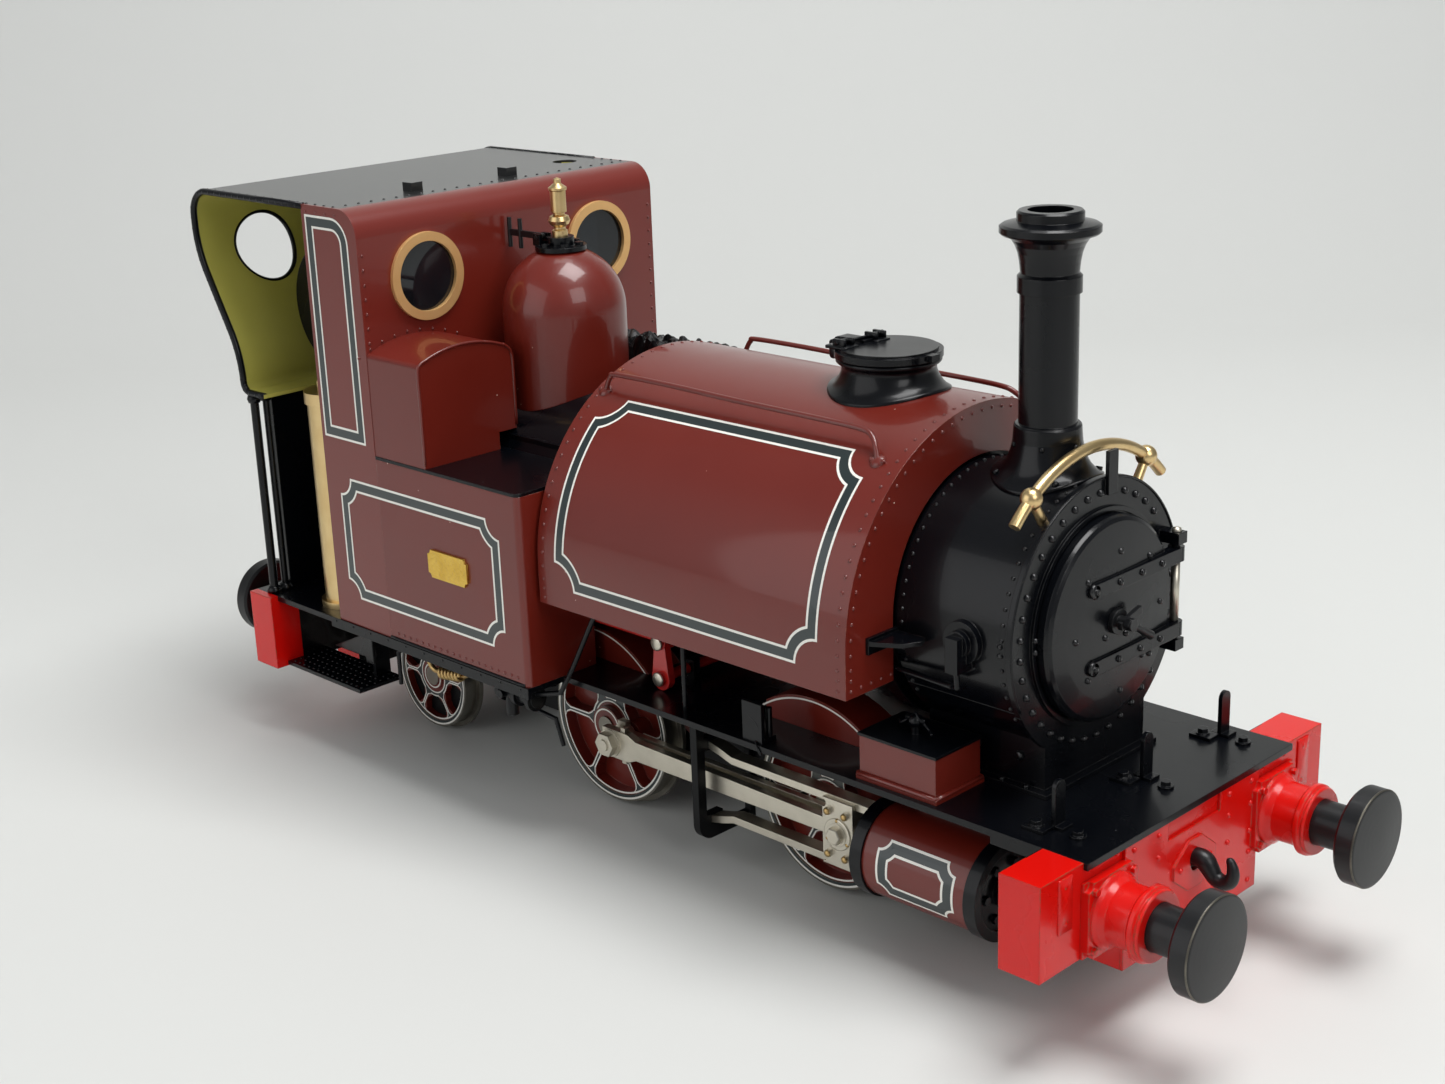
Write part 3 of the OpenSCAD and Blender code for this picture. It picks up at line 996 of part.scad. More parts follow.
module smokebox_handrail() color("#c8a565") {
  r = smoke_r + 6.4; x = smoke_x - 2.4; w = 1.2;
  intersection() {
    translate([x, 0, boiler_z]) rotate([0, 90, 0]) rotate_extrude($fn = 120)
      translate([r, 0]) circle(w, $fn = 24);
    translate([x - 3, 0, boiler_z]) rotate([90, 0, 90]) linear_extrude(6)
      polygon([[0, 0], [-60, 59], [0, 90], [60, 59]]);
  }
  for (a = [-34, 34]) {
    translate([x, r * sin(a), boiler_z + r * cos(a)]) sphere(2.2, $fn = 32);
    difference() {
      translate([x, r * sin(a), boiler_z + r * cos(a)]) rotate([-a, 0, 0])
        translate([0, 0, -7]) cylinder(r1 = 1.1, r2 = 0.9, h = 7, $fn = 24);
      cx(tank_x1, smoke_x - 1.2, smoke_r, 0, boiler_z, 120);
      cx(smoke_x - 1.3, smoke_x + 10, smoke_r + 0.8, 0, boiler_z, 120);
    }
  }
}

main_frames();
footplate();
buffer_beams();
buffer_stocks();
buffer_front_right();
buffer_front_left();
buffer_rear_right();
buffer_rear_left();
draw_hooks();
boiler();
smokebox();
smokebox_door();
door_dart();
chimney();
saddle_tank();
tank_filler();
filler_lid();
tank_handrails();
dome();
dome_flange();
safety_valve();
valve_arm();
cab_front();
cab_roof();
cab_pillars();
porthole_rims();
porthole_glass();
bunkers();
bunker_tops();
side_plates();
tool_box();
coal();
lubricator();
gas_tank();
gas_valve();
regulator();
reversing_lever();
reach_rod();
weighshaft();
cylinders();
cylinder_covers();
slide_bars();
motion_brackets();
rear_wheels();
rear_tyres();
front_wheels();
front_tyres();
trailing_wheels();
trailing_tyres();
coupling_rod_right();
coupling_rod_left();
connecting_rod_right();
connecting_rod_left();
crosshead_right();
crosshead_left();
sandboxes();
splashers();
platform_fittings();
underframe();
smokebox_handrail();
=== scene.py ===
"""Live steam tank locomotive for 32 mm gauge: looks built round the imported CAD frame."""
# %% [markdown]
# The CAD parts already have the right shapes. This lesson gives each of them a finish, adds the
# painted lining, the rows of rivets and the small trim, and lights the engine on a pale floor.
# Blender works in metres, so lengths written in millimetres are multiplied by MM.

# %% Load the frame
import bpy
import numpy as np
from mathutils import Matrix, Vector


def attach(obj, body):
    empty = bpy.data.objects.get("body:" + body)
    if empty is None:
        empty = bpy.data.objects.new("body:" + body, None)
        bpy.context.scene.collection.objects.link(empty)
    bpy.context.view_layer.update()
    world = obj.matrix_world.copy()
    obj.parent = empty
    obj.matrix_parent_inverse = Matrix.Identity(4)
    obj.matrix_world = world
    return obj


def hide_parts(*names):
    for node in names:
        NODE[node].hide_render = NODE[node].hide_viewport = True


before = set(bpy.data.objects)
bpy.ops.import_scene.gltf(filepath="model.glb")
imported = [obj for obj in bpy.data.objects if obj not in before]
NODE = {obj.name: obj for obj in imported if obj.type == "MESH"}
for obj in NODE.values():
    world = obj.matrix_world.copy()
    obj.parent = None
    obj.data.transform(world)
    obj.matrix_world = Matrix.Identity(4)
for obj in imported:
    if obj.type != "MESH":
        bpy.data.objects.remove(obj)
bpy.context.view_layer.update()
MM = 0.001

# %% [markdown]
# A few sizes of the engine place nearly all of its trim, so they get names first. x runs to the
# front, y to the left and z up, and the letter s is -1 on the right side and +1 on the left, or
# -1 at the back and +1 at the front.

# %% Main sizes in millimetres
X, Y, Z = np.eye(3)
SIDES = (-1, 1)
BOILER_Z, SMOKE_R = 72.1, 27.6  # barrel of the smokebox: centre height and radius
SMOKE_X, DOOR_X = 104.6, 108.0  # outer faces of the smokebox front and of its door
CHIMNEY_X, FILLER_X = 91.9, 51.2
TANK_Z, TANK_R = 68.6, 42.6  # saddle tank: centre height and radius of its round top
TANK_FRONT, TANK_BACK = 75.7, -16.0
CAB_Y, ROOF_Z = 46.5, 143.0  # outer faces of the cab and bunker sides, and the roof's height
CAB_MIDDLE = (-106, 0, 108)
REAR_X, FRONT_X, AXLE_Z = -21.3, 48.4, 20.7
TRAILING_X, TRAILING_Z = -92.0, 15.2
CYLINDER_Y, CYLINDER_R = 25.2, 10.0
BEAM_X, BUFFER_Y, BUFFER_Z = 127.5, 29.0, 27.7
LIFT = 0.05  # a painted line lies this far above the paint under it
CLOSED = 1e-3  # radius of the last tiny ring that closes a turned piece
print("boiler line", BOILER_Z, "mm above the rails")

# %% [markdown]
# The camera stands to the right of the chimney end and looks down a little. Its place and turn
# are given as a position, an azimuth, a pitch and a small roll, as for a camera held by hand.

# %% Camera
AZIMUTH, PITCH, ROLL = 45.46, 17.92, -2.14
CAMERA_PLACE = (0.3263, -0.3213, 0.2143)
LENS, SENSOR = 51.567197, 36.0

def aim(azimuth, pitch, roll):
    """Rotation whose -Z looks along (-sin az cos p, cos az cos p, -sin p), rolled about that line."""
    a, p, r = np.radians([azimuth, pitch, roll])
    look = np.array([-np.sin(a) * np.cos(p), np.cos(a) * np.cos(p), -np.sin(p)])
    level = np.array([np.cos(a), np.sin(a), 0.0])
    upright = np.cross(level, look)
    right = level * np.cos(r) + upright * np.sin(r)
    up = upright * np.cos(r) - level * np.sin(r)
    return Matrix(np.column_stack([right, up, -look]).tolist())

camera = bpy.data.objects.new("camera", bpy.data.cameras.new("camera"))
bpy.context.scene.collection.objects.link(camera)
camera.matrix_world = aim(AZIMUTH, PITCH, ROLL).to_4x4()
camera.location = CAMERA_PLACE
camera.data.sensor_width = SENSOR
camera.data.lens = LENS
camera.data.clip_start = 0.01
bpy.context.scene.camera = camera
print("lens", round(camera.data.lens, 2), "mm")

# %% [markdown]
# Colours are written as they look on a screen, in hex, and Blender wants linear light, so one
# function converts them. One more function adds any shader node with its links, values and
# settings, and a third starts a material from the values that a maker would know: its colour,
# how rough it is and whether it is a metal.

# %% Colour and node helpers
def linear(code):
    """sRGB hex to linear RGBA: c/12.92 below 0.04045, else ((c+0.055)/1.055)^2.4."""
    c = np.array([int(code[i:i + 2], 16) for i in (1, 3, 5)]) / 255.0
    c = np.where(c <= 0.04045, c / 12.92, ((c + 0.055) / 1.055) ** 2.4)
    return (*c.tolist(), 1.0)

def add(tree, kind, links=(), values=None, **settings):
    """Add a node: links are (output, input) pairs, values go to unlinked inputs, settings are its own."""
    node = tree.nodes.new(kind)
    for key, value in settings.items():
        setattr(node, key, value)
    for key, value in (values or {}).items():
        node.inputs[key].default_value = value
    for source, target in links:
        tree.links.new(source, node.inputs[target])
    return node

def new_finish(name, colour, roughness, metallic=0.0, **sockets):
    """A Principled material with plain values set on its own sockets."""
    material = bpy.data.materials.new(name)
    material.use_nodes = True
    tree = material.node_tree
    shader = tree.nodes["Principled BSDF"]
    shader.inputs["Base Color"].default_value = linear(colour)
    shader.inputs["Roughness"].default_value = roughness
    shader.inputs["Metallic"].default_value = metallic
    for key, value in sockets.items():
        shader.inputs[key.replace("_", " ")].default_value = value
    return material, tree, shader
print("helpers ready")

# %% [markdown]
# Paint on a model engine is sprayed enamel: a thin gloss film with a faint orange peel, a little
# dust caught in it and slightly uneven colour. The film could be one plain gloss, but then large
# sheets look like plastic. Two things change it from place to place. Where hands rub a corner,
# the film wears through to the primer, so one mask finds edges and breaks them up with noise. The
# backs of the buffer beams are black, so a second mask finds what lies behind them.

# %% Masks for worn and covered paint
def rubbed(tree, at, soft, amount):
    """Mask of rubbed edges: soft normal . flat normal falls below a limit that noise moves about."""
    flat = add(tree, "ShaderNodeNewGeometry").outputs["Normal"]
    dot = add(tree, "ShaderNodeVectorMath", [(soft, 0), (flat, 1)], operation="DOT_PRODUCT")
    noise = add(tree, "ShaderNodeTexNoise", [(at, "Vector")], {"Scale": 1 / (1.6 * MM), "Detail": 6.0})
    limit = add(tree, "ShaderNodeMapRange", [(noise.outputs["Fac"], "Value")],
                {"From Min": 0.35, "From Max": 0.65, "To Min": 1 - amount, "To Max": 0.4})
    links = [(dot.outputs["Value"], 0), (limit.outputs[0], 1)]
    return add(tree, "ShaderNodeMath", links, operation="LESS_THAN").outputs[0]

def covered(tree, at, limits):
    """Mask of the inside of a piece: |x| and |y| are both under their limit in millimetres."""
    place = add(tree, "ShaderNodeSeparateXYZ", [(at, 0)])
    under = []
    for axis, limit in enumerate(limits):
        size = add(tree, "ShaderNodeMath", [(place.outputs[axis], 0)], operation="ABSOLUTE")
        less = add(tree, "ShaderNodeMath", [(size.outputs[0], 0)], {1: limit * MM}, operation="LESS_THAN")
        under.append((less.outputs[0], axis))
    return add(tree, "ShaderNodeMath", under, operation="MULTIPLY").outputs[0]
print("masks ready")

# %% [markdown]
# One function makes every paint. A clear coat lies over the pigment, two close pigments are mixed
# by slow noise, and a Bevel node softens the edges, as a sprayed coat rounds them. Fine noise in
# the bump is the orange peel, and the same slow noise makes the gloss a little uneven.

# %% Sprayed enamel
def enamel(name, colour, darker, roughness, coat, specular=0.5, peel_mm=1.1, peel=0.035, specks=0.0,
           speck="#d8b9a8", wear=0.0, bare="#7a5a3c", edge_mm=0.22, black_within=None):
    """Sprayed paint: two close pigments mixed by slow noise, orange peel in the bump, rare dust,
    rubbed edges where wear > 0, and black paint where |x| and |y| are within the given pair."""
    material, tree, shader = new_finish(name, colour, roughness, Coat_Weight=coat, Coat_Roughness=0.06,
                                        Specular_IOR_Level=specular)
    at = add(tree, "ShaderNodeTexCoord").outputs["Object"]
    slow = add(tree, "ShaderNodeTexNoise", [(at, "Vector")], {"Scale": 1 / (22 * MM), "Detail": 4.0})
    paint = add(tree, "ShaderNodeMix", [(slow.outputs["Fac"], 0)], {6: linear(darker), 7: linear(colour)},
                data_type="RGBA")
    soft = add(tree, "ShaderNodeBevel", values={"Radius": edge_mm * MM}, samples=4).outputs[0]
    layers = []
    if specks:
        dust = add(tree, "ShaderNodeTexVoronoi", [(at, "Vector")], {"Scale": 1 / (6.5 * MM)})
        spot = add(tree, "ShaderNodeMath", [(dust.outputs["Distance"], 0)], {1: specks},
                   operation="LESS_THAN")
        layers.append((spot.outputs[0], speck))
    if wear:
        layers.append((rubbed(tree, at, soft, wear), bare))
    if black_within:
        layers.append((covered(tree, at, black_within), "#0c0c0e"))
    for mask, laid in layers:
        paint = add(tree, "ShaderNodeMix", [(mask, 0), (paint.outputs[2], 6)], {7: linear(laid)},
                    data_type="RGBA")
    tree.links.new(paint.outputs[2], shader.inputs["Base Color"])
    grain = add(tree, "ShaderNodeTexNoise", [(at, "Vector")], {"Scale": 1 / (peel_mm * MM), "Detail": 2.0})
    bump = add(tree, "ShaderNodeBump", [(grain.outputs["Fac"], "Height"), (soft, "Normal")],
               {"Strength": peel, "Distance": 0.05 * MM})
    tree.links.new(bump.outputs[0], shader.inputs["Normal"])
    tree.links.new(bump.outputs[0], shader.inputs["Coat Normal"])
    smear = add(tree, "ShaderNodeMapRange", [(slow.outputs["Fac"], "Value")],
                {"To Min": roughness * 0.8, "To Max": roughness * 1.3})
    tree.links.new(smear.outputs[0], shader.inputs["Roughness"])
    return material
print("spray gun ready")

# %% [markdown]
# The livery is maroon over black with signal red beams. Each paint starts from the colour of its
# pigment and from how it was put on: sprayed gloss is smooth, brushed paint is uneven and thick,
# and paint for hot metal is coarse. Blackened steel looks so like black paint that it is one too.

# %% Paints of the livery
# Maroon is the livery's main colour, gloss sprayed: deep red with a clear reflection and a little dust.
maroon = enamel("maroon_gloss_enamel", "#6e1e13", "#631a10", 0.34, 0.5, specular=0.36, specks=0.025,
                wear=0.008, bare="#8f5a48")
# The same paint on small heads is only a highlight on a dome, so it has no dust and no wear.
maroon_heads = enamel("maroon_enamel_on_rivets", "#6a1c12", "#5e190f", 0.32, 0.5, peel_mm=0.7)
# Black satin on boiler and platform: nearly black, and soft reflections show the form.
black = enamel("black_satin_enamel", "#05070b", "#030408", 0.27, 0.15, specular=0.22, speck="#8f8f8f",
               specks=0.014, wear=0.008, bare="#262626")
# Frames are brushed with a flatter black that hides in the shade under the engine.
frame_black = enamel("black_frame_enamel", "#06070a", "#040507", 0.42, 0.06, specular=0.18)
# The smokebox gets hot, so its paint is a coarser black whose peel shows in the highlights.
smoke_black = enamel("black_heat_resistant_paint", "#06080c", "#040509", 0.25, 0.15, specular=0.24,
                     peel_mm=0.8, peel=0.06, wear=0.008, bare="#2b2a28")
# Its bolts wear the same paint and are a little brighter, because a dome always catches a lamp.
smoke_heads = enamel("heat_resistant_paint_on_bolts", "#08090c", "#050609", 0.3, 0.3, specular=0.4,
                     peel_mm=0.6, peel=0.05)
# Buffer beams are signal red, thickly brushed, rubbed to primer at the corners and black behind.
red = enamel("signal_red_enamel", "#de0f06", "#c80b05", 0.26, 0.22, specular=0.33, peel=0.08, wear=0.05,
             bare="#7d5636", edge_mm=0.45, black_within=(118.3, 41.0))
# The reversing linkage is a darker red, sprayed thin, so that its edges stay sharp.
rod_red = enamel("red_enamel_linkage", "#c01a14", "#a81510", 0.32, 0.5)
# The roof is painted a greyer black than the boiler: painted light, for a roof that looks up at the lamps.
roof_rivet = enamel("black_roof_enamel", "#161717", "#101111", 0.34, 0.4)
# Blackened steel is oiled metal with a dull sheen, close to a thin black paint.
dark_steel = enamel("blackened_steel", "#0d0e11", "#090a0c", 0.4, 0.12, specular=0.36, peel_mm=0.6,
                    peel=0.03)
print("enamels mixed")

# %% [markdown]
# The cab's sheets are maroon or black outside and olive green inside. They could be split in two
# pieces, but each is one CAD part, so the material decides: a face whose normal points at the
# middle of the cab is an inside face. Faces above the roof's underside are always outside.

# %% Two-faced sheet
def two_faced(name, outside, inside, inside_pale, centre):
    """Sheet painted outside and olive inside: a face is inside where its normal points at centre."""
    material, tree, shader = new_finish(name, outside, 0.34, Coat_Weight=0.4, Coat_Roughness=0.08)
    at = add(tree, "ShaderNodeTexCoord").outputs["Object"]
    away = add(tree, "ShaderNodeVectorMath", [(at, 1)], {0: [c * MM for c in centre]},
               operation="SUBTRACT")
    normal = add(tree, "ShaderNodeNewGeometry").outputs["True Normal"]
    facing_in = add(tree, "ShaderNodeVectorMath", [(away.outputs[0], 0), (normal, 1)],
                    operation="DOT_PRODUCT")
    towards = add(tree, "ShaderNodeMath", [(facing_in.outputs["Value"], 0)], {1: 0.004},
                  operation="GREATER_THAN")
    height = add(tree, "ShaderNodeSeparateXYZ", [(at, 0)]).outputs[2]
    below = add(tree, "ShaderNodeMath", [(height, 0)], {1: (ROOF_Z - 0.1) * MM}, operation="LESS_THAN")
    within = add(tree, "ShaderNodeMath", [(towards.outputs[0], 0), (below.outputs[0], 1)],
                 operation="MULTIPLY")
    slow = add(tree, "ShaderNodeTexNoise", [(at, "Vector")], {"Scale": 1 / (15 * MM), "Detail": 4.0})
    olive = add(tree, "ShaderNodeMix", [(slow.outputs["Fac"], 0)],
                {6: linear(inside), 7: linear(inside_pale)}, data_type="RGBA")
    both = add(tree, "ShaderNodeMix", [(within.outputs[0], 0), (olive.outputs[2], 7)],
               {6: linear(outside)}, data_type="RGBA")
    tree.links.new(both.outputs[2], shader.inputs["Base Color"])
    grain = add(tree, "ShaderNodeTexNoise", [(at, "Vector")], {"Scale": 1 / (0.9 * MM), "Detail": 3.0})
    soft = add(tree, "ShaderNodeBevel", values={"Radius": 0.22 * MM}, samples=4)
    bump = add(tree, "ShaderNodeBump", [(grain.outputs["Fac"], "Height"), (soft.outputs[0], "Normal")],
               {"Strength": 0.06, "Distance": 0.05 * MM})
    tree.links.new(bump.outputs[0], shader.inputs["Normal"])
    return material

OLIVE, PALE_OLIVE = "#b0aa50", "#beb85c"
# The roof's outside takes the same greyer black, painted light for a roof that faces the lamps.
roof_paint = two_faced("black_roof_olive_lining", "#161717", OLIVE, PALE_OLIVE, CAB_MIDDLE)
cab_paint = two_faced("maroon_cab_olive_lining", "#6e1e13", OLIVE, PALE_OLIVE, CAB_MIDDLE)
print("cab sheets painted")

# %% [markdown]
# Bare metal shows how it was cut. Milled rods have fine lines along them, turned tyres and brass
# have lines round them, and a casting has an even grain. One noise pattern gives all of these: it
# is squeezed along one axis for lines, or left even for a casting. A slow stain tints the metal,
# because bright brass and steel are never clean for long.

# %% Steel and brass
def metal(name, colour, roughness, along="", lines_mm=0.18, wear=0.25, tarnish=None, metallic=1.0,
          relief_mm=0.02, depth=0.08):
    """Noise stretched 25 times along one axis varies roughness and bump; slow noise mixes in tarnish."""
    material, tree, shader = new_finish(name, colour, roughness, metallic=metallic)
    at = add(tree, "ShaderNodeTexCoord").outputs["Object"]
    squeeze = add(tree, "ShaderNodeMapping", [(at, "Vector")],
                  {"Scale": [0.04 if axis == along else 1.0 for axis in "XYZ"]})
    lines = add(tree, "ShaderNodeTexNoise", [(squeeze.outputs[0], "Vector")],
                {"Scale": 1 / (lines_mm * MM), "Detail": 2.0})
    rough = add(tree, "ShaderNodeMapRange", [(lines.outputs["Fac"], "Value")],
                {"To Min": roughness * (1 - wear), "To Max": roughness * (1 + wear)})
    tree.links.new(rough.outputs[0], shader.inputs["Roughness"])
    soft = add(tree, "ShaderNodeBevel", values={"Radius": 0.15 * MM}, samples=4)
    bump = add(tree, "ShaderNodeBump", [(lines.outputs["Fac"], "Height"), (soft.outputs[0], "Normal")],
               {"Strength": depth, "Distance": relief_mm * MM})
    tree.links.new(bump.outputs[0], shader.inputs["Normal"])
    if tarnish:
        slow = add(tree, "ShaderNodeTexNoise", [(at, "Vector")], {"Scale": 1 / (4 * MM), "Detail": 5.0})
        tint = add(tree, "ShaderNodeMix", [(slow.outputs["Fac"], 0)],
                   {6: linear(colour), 7: linear(tarnish)}, data_type="RGBA")
        tree.links.new(tint.outputs[2], shader.inputs["Base Color"])
    return material

# Rods are milled mild steel: warm grey, with a soft streak along their length.
rod_steel = metal("milled_steel_rods", "#dbd5c6", 0.36, "X", tarnish="#bfb9aa")
# Tyres are turned steel and duller, because they pick up oil from the rails.
turned_steel = metal("turned_steel_tyre", "#9b978d", 0.34, "Y", tarnish="#77736b")
# The rims of the buffer heads lose their black where they meet other buffers.
worn_edge = metal("bare_steel_edge", "#8d887c", 0.42, "Z", tarnish="#1a1a1b")
# Polished brass is pale gold and nearly a mirror; small fixings stay dull and browner.
brass = metal("polished_brass", "#e3cb98", 0.3, "Z", wear=0.12, tarnish="#cfae78")
old_brass = metal("dull_brass_fixings", "#cdb07a", 0.36, "Z", tarnish="#a98a58")
# Window rims are lacquered, so they look half like metal and half like varnish.
rim_brass = metal("lacquered_brass_rim", "#f0c588", 0.5, "X", tarnish="#e2b070", metallic=0.62)
# The side plates are cast in sand: an even grain, drawn coarse enough to show.
plate_brass = metal("cast_brass_plate", "#f2d06c", 0.4, lines_mm=0.9, wear=0.4, tarnish="#d2a640",
                    relief_mm=0.4, depth=0.7)
print("metals ready")

# %% [markdown]
# Three finishes are left. Window glass is clear, but its colour is nearly black: painted shade for
# the dark cab behind it. Coal is broken rock with small shiny faces, so a cell pattern in the bump
# catches the light at many angles. The lining is thin paint put on with a pen: a warm white and a
# very dark green.

# %% Glass, coal and lining paint
# Painted shade: the glass is tinted nearly black for the dark cab behind it.
glass, *_ = new_finish("dark_clear_glass", "#1a2026", 0.03, Transmission_Weight=0.55, IOR=1.5)

def crushed(name, colour, roughness, specular, lump_mm):
    """Broken rock: the distance to the nearest of many random points tilts the surface's normal."""
    material, tree, shader = new_finish(name, colour, roughness, Specular_IOR_Level=specular)
    at = add(tree, "ShaderNodeTexCoord").outputs["Object"]
    lumps = add(tree, "ShaderNodeTexVoronoi", [(at, "Vector")], {"Scale": 1 / (lump_mm * MM)})
    bump = add(tree, "ShaderNodeBump", [(lumps.outputs["Distance"], "Height")],
               {"Strength": 0.5, "Distance": 0.5 * MM})
    tree.links.new(bump.outputs[0], shader.inputs["Normal"])
    return material

coal_black = crushed("crushed_coal", "#08080a", 0.42, 0.32, 2.6)
lining_white, *_ = new_finish("white_lining_paint", "#eceae2", 0.35, Coat_Weight=0.4)
lining_dark, *_ = new_finish("dark_green_lining_paint", "#1f2b2c", 0.32, Coat_Weight=0.5)
print(len(bpy.data.materials), "materials")

# %% [markdown]
# Each CAD part takes one finish. A table of names says it in one place, so that a repaint is one
# word in one line. The CAD parts' shapes and places aren't touched.

# %% Dress the CAD parts
DRESS = {
    "main_frames": frame_black, "motion_brackets": frame_black, "underframe": black,
    "footplate": black, "platform_fittings": black, "splashers": maroon, "sandboxes": maroon,
    "buffer_beams": red, "buffer_stocks": red, "draw_hooks": dark_steel,
    "buffer_front_right": dark_steel, "buffer_front_left": dark_steel,
    "buffer_rear_right": dark_steel, "buffer_rear_left": dark_steel,
    "boiler": black, "smokebox": smoke_black, "smokebox_door": smoke_black, "door_dart": dark_steel,
    "smokebox_handrail": brass, "chimney": smoke_black,
    "saddle_tank": maroon, "tank_filler": black, "filler_lid": black, "tank_handrails": maroon,
    "dome": maroon, "dome_flange": black, "safety_valve": brass, "valve_arm": dark_steel,
    "cab_front": cab_paint, "cab_roof": roof_paint, "cab_pillars": black,
    "porthole_rims": rim_brass, "porthole_glass": glass,
    "bunkers": maroon, "bunker_tops": black, "side_plates": plate_brass, "tool_box": maroon,
    "coal": coal_black, "lubricator": brass, "gas_tank": black, "gas_valve": brass,
    "regulator": rod_steel, "reversing_lever": rod_steel, "reach_rod": rod_red,
    "weighshaft": rod_red, "cylinders": maroon, "cylinder_covers": black, "slide_bars": rod_steel,
    "rear_wheels": maroon, "front_wheels": maroon, "trailing_wheels": maroon,
    "rear_tyres": turned_steel, "front_tyres": turned_steel, "trailing_tyres": turned_steel,
    "coupling_rod_right": rod_steel, "coupling_rod_left": rod_steel,
    "connecting_rod_right": rod_steel, "connecting_rod_left": rod_steel,
    "crosshead_right": rod_steel, "crosshead_left": rod_steel,
}
for name, part in NODE.items():
    part.data.materials.clear()
    part.data.materials.append(DRESS[name])
print("dressed", len(DRESS))

# %% [markdown]
# Every added piece is one mesh worked out as whole arrays. A grid of points becomes quads with
# one index formula, and a list of such grids can share one mesh. A piece is made in millimetres,
# rides on one body of the mechanism and takes the material it is given.

# %% Grids and pieces
def quads(rows, columns, close_rows=False, close_columns=False):
    """Index quads of a grid; closing rows joins the last row to the first, closing columns likewise."""
    i = np.arange(rows if close_rows else rows - 1)[:, None]
    j = np.arange(columns if close_columns else columns - 1)[None, :]
    here, beside = i * columns, (j + 1) % columns
    above = ((i + 1) % rows) * columns
    return np.stack([here + j, here + beside, above + beside, above + j], -1).reshape(-1, 4)

def piece(name, points, faces, material, slot, body="engine", smooth=True):
    """One mesh object from points in millimetres, riding on a body and taking the given material; slot is not
    used.
    """
    mesh = bpy.data.meshes.new(name)
    mesh.from_pydata((np.asarray(points, float) * MM).tolist(), [], [list(map(int, f)) for f in faces])
    mesh.materials.append(material)
    mesh.polygons.foreach_set("use_smooth", [smooth] * len(mesh.polygons))
    obj = bpy.data.objects.new(name, mesh)
    bpy.context.scene.collection.objects.link(obj)
    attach(obj, body)
    return obj

def joined(parts):
    """Put several (points, faces) together in one list, shifting each one's indices."""
    shifts = np.cumsum([0] + [len(points) for points, _ in parts[:-1]])
    faces = [face for (_, own), shift in zip(parts, shifts) for face in (np.asarray(own) + shift).tolist()]
    return np.concatenate([points for points, _ in parts]), faces
print("grid helpers ready")

# %% [markdown]
# Most trim is round: pins, bolts, rivets and rods. A pin or a boss is turned, so it is a profile
# of radii and heights swept round an axis. A rod or a pipe is a circle carried along a path, and
# the path is a smooth curve through a few chosen points.

# %% Round shapes
def around(axes):
    """Two unit vectors square to each axis in an array of unit axes."""
    axes = np.atleast_2d(axes)
    helper = np.where(np.abs(axes[:, 2:3]) > 0.9, [[1.0, 0, 0]], [[0, 0, 1.0]])
    u = np.cross(helper, axes)
    u /= np.linalg.norm(u, axis=1, keepdims=True)
    return u, np.cross(axes, u)

def turned(profile, centre, axis, n=48):
    """Surface of revolution: point(h, a) = centre + axis*h + r(h)*(u cos a + v sin a)."""
    profile = np.asarray(profile, float)
    axis = np.asarray(axis, float) / np.linalg.norm(axis)
    u, v = around(axis)
    a = np.linspace(0, 2 * np.pi, n, endpoint=False)
    ring = np.cos(a)[:, None] * u + np.sin(a)[:, None] * v
    radius, height = profile[:, 0, None, None], profile[:, 1, None, None]
    p = np.asarray(centre, float) + height * axis + radius * ring[None]
    return p.reshape(-1, 3), quads(len(profile), n, close_columns=True)

def stub(radius, low, high, bevel=None):
    """Profile of a short pin from low to high, its top edge cut back by bevel (in radius, in height)."""
    top = [(radius, high)]
    if bevel:
        top = [(radius, high - bevel[1]), (radius - bevel[0], high)]
    return [(CLOSED, low), (radius, low), *top, (CLOSED, high)]

def tube(path, radius, n=12):
    """Pipe: circles square to the path's direction, closed at both ends by a last tiny ring. The
    circles start square to the world axis that the path follows least, so they never twist."""
    path = np.asarray(path, float)
    along = np.gradient(path, axis=0)
    along /= np.linalg.norm(along, axis=1, keepdims=True)
    u = np.cross(np.eye(3)[np.abs(along).max(0).argmin()], along)
    u /= np.linalg.norm(u, axis=1, keepdims=True)
    v = np.cross(along, u)
    a = np.linspace(0, 2 * np.pi, n, endpoint=False)
    r = np.broadcast_to(np.asarray(radius, float), len(path)).copy()
    path, u, v, r = (np.concatenate([q[:1], q, q[-1:]]) for q in (path, u, v, r))
    r[0] = r[-1] = 1e-4
    ring = np.cos(a)[:, None] * u[:, None] + np.sin(a)[:, None] * v[:, None]
    p = path[:, None] + r[:, None, None] * ring
    return p.reshape(-1, 3), quads(len(path), n, close_columns=True)

def smooth_path(points, n=60):
    """Catmull-Rom curve through the points, evaluated at n places as one array."""
    p = np.asarray(points, float)
    p = np.concatenate([[2 * p[0] - p[1]], p, [2 * p[-1] - p[-2]]])
    s = np.linspace(0, len(p) - 3 - 1e-9, n)
    i, f = s.astype(int), (s % 1)[:, None]
    a, b, c, d = p[i], p[i + 1], p[i + 2], p[i + 3]
    bend, twist = 2 * a - 5 * b + 4 * c - d, 3 * b - a - 3 * c + d
    return 0.5 * (2 * b + (c - a) * f + bend * f ** 2 + twist * f ** 3)
print("round helpers ready")

# %% [markdown]
# A head is a dome of four rings, or a flat hexagon with a small chamfer. Modelling each one apart
# would be slow, so one array holds the rings and numpy copies it to all the places of a row. A
# row is only a list of points along an arc or a line.

# %% Heads of rivets, bolts and studs
HEXAGON = {"sides": 6, "flat": True}

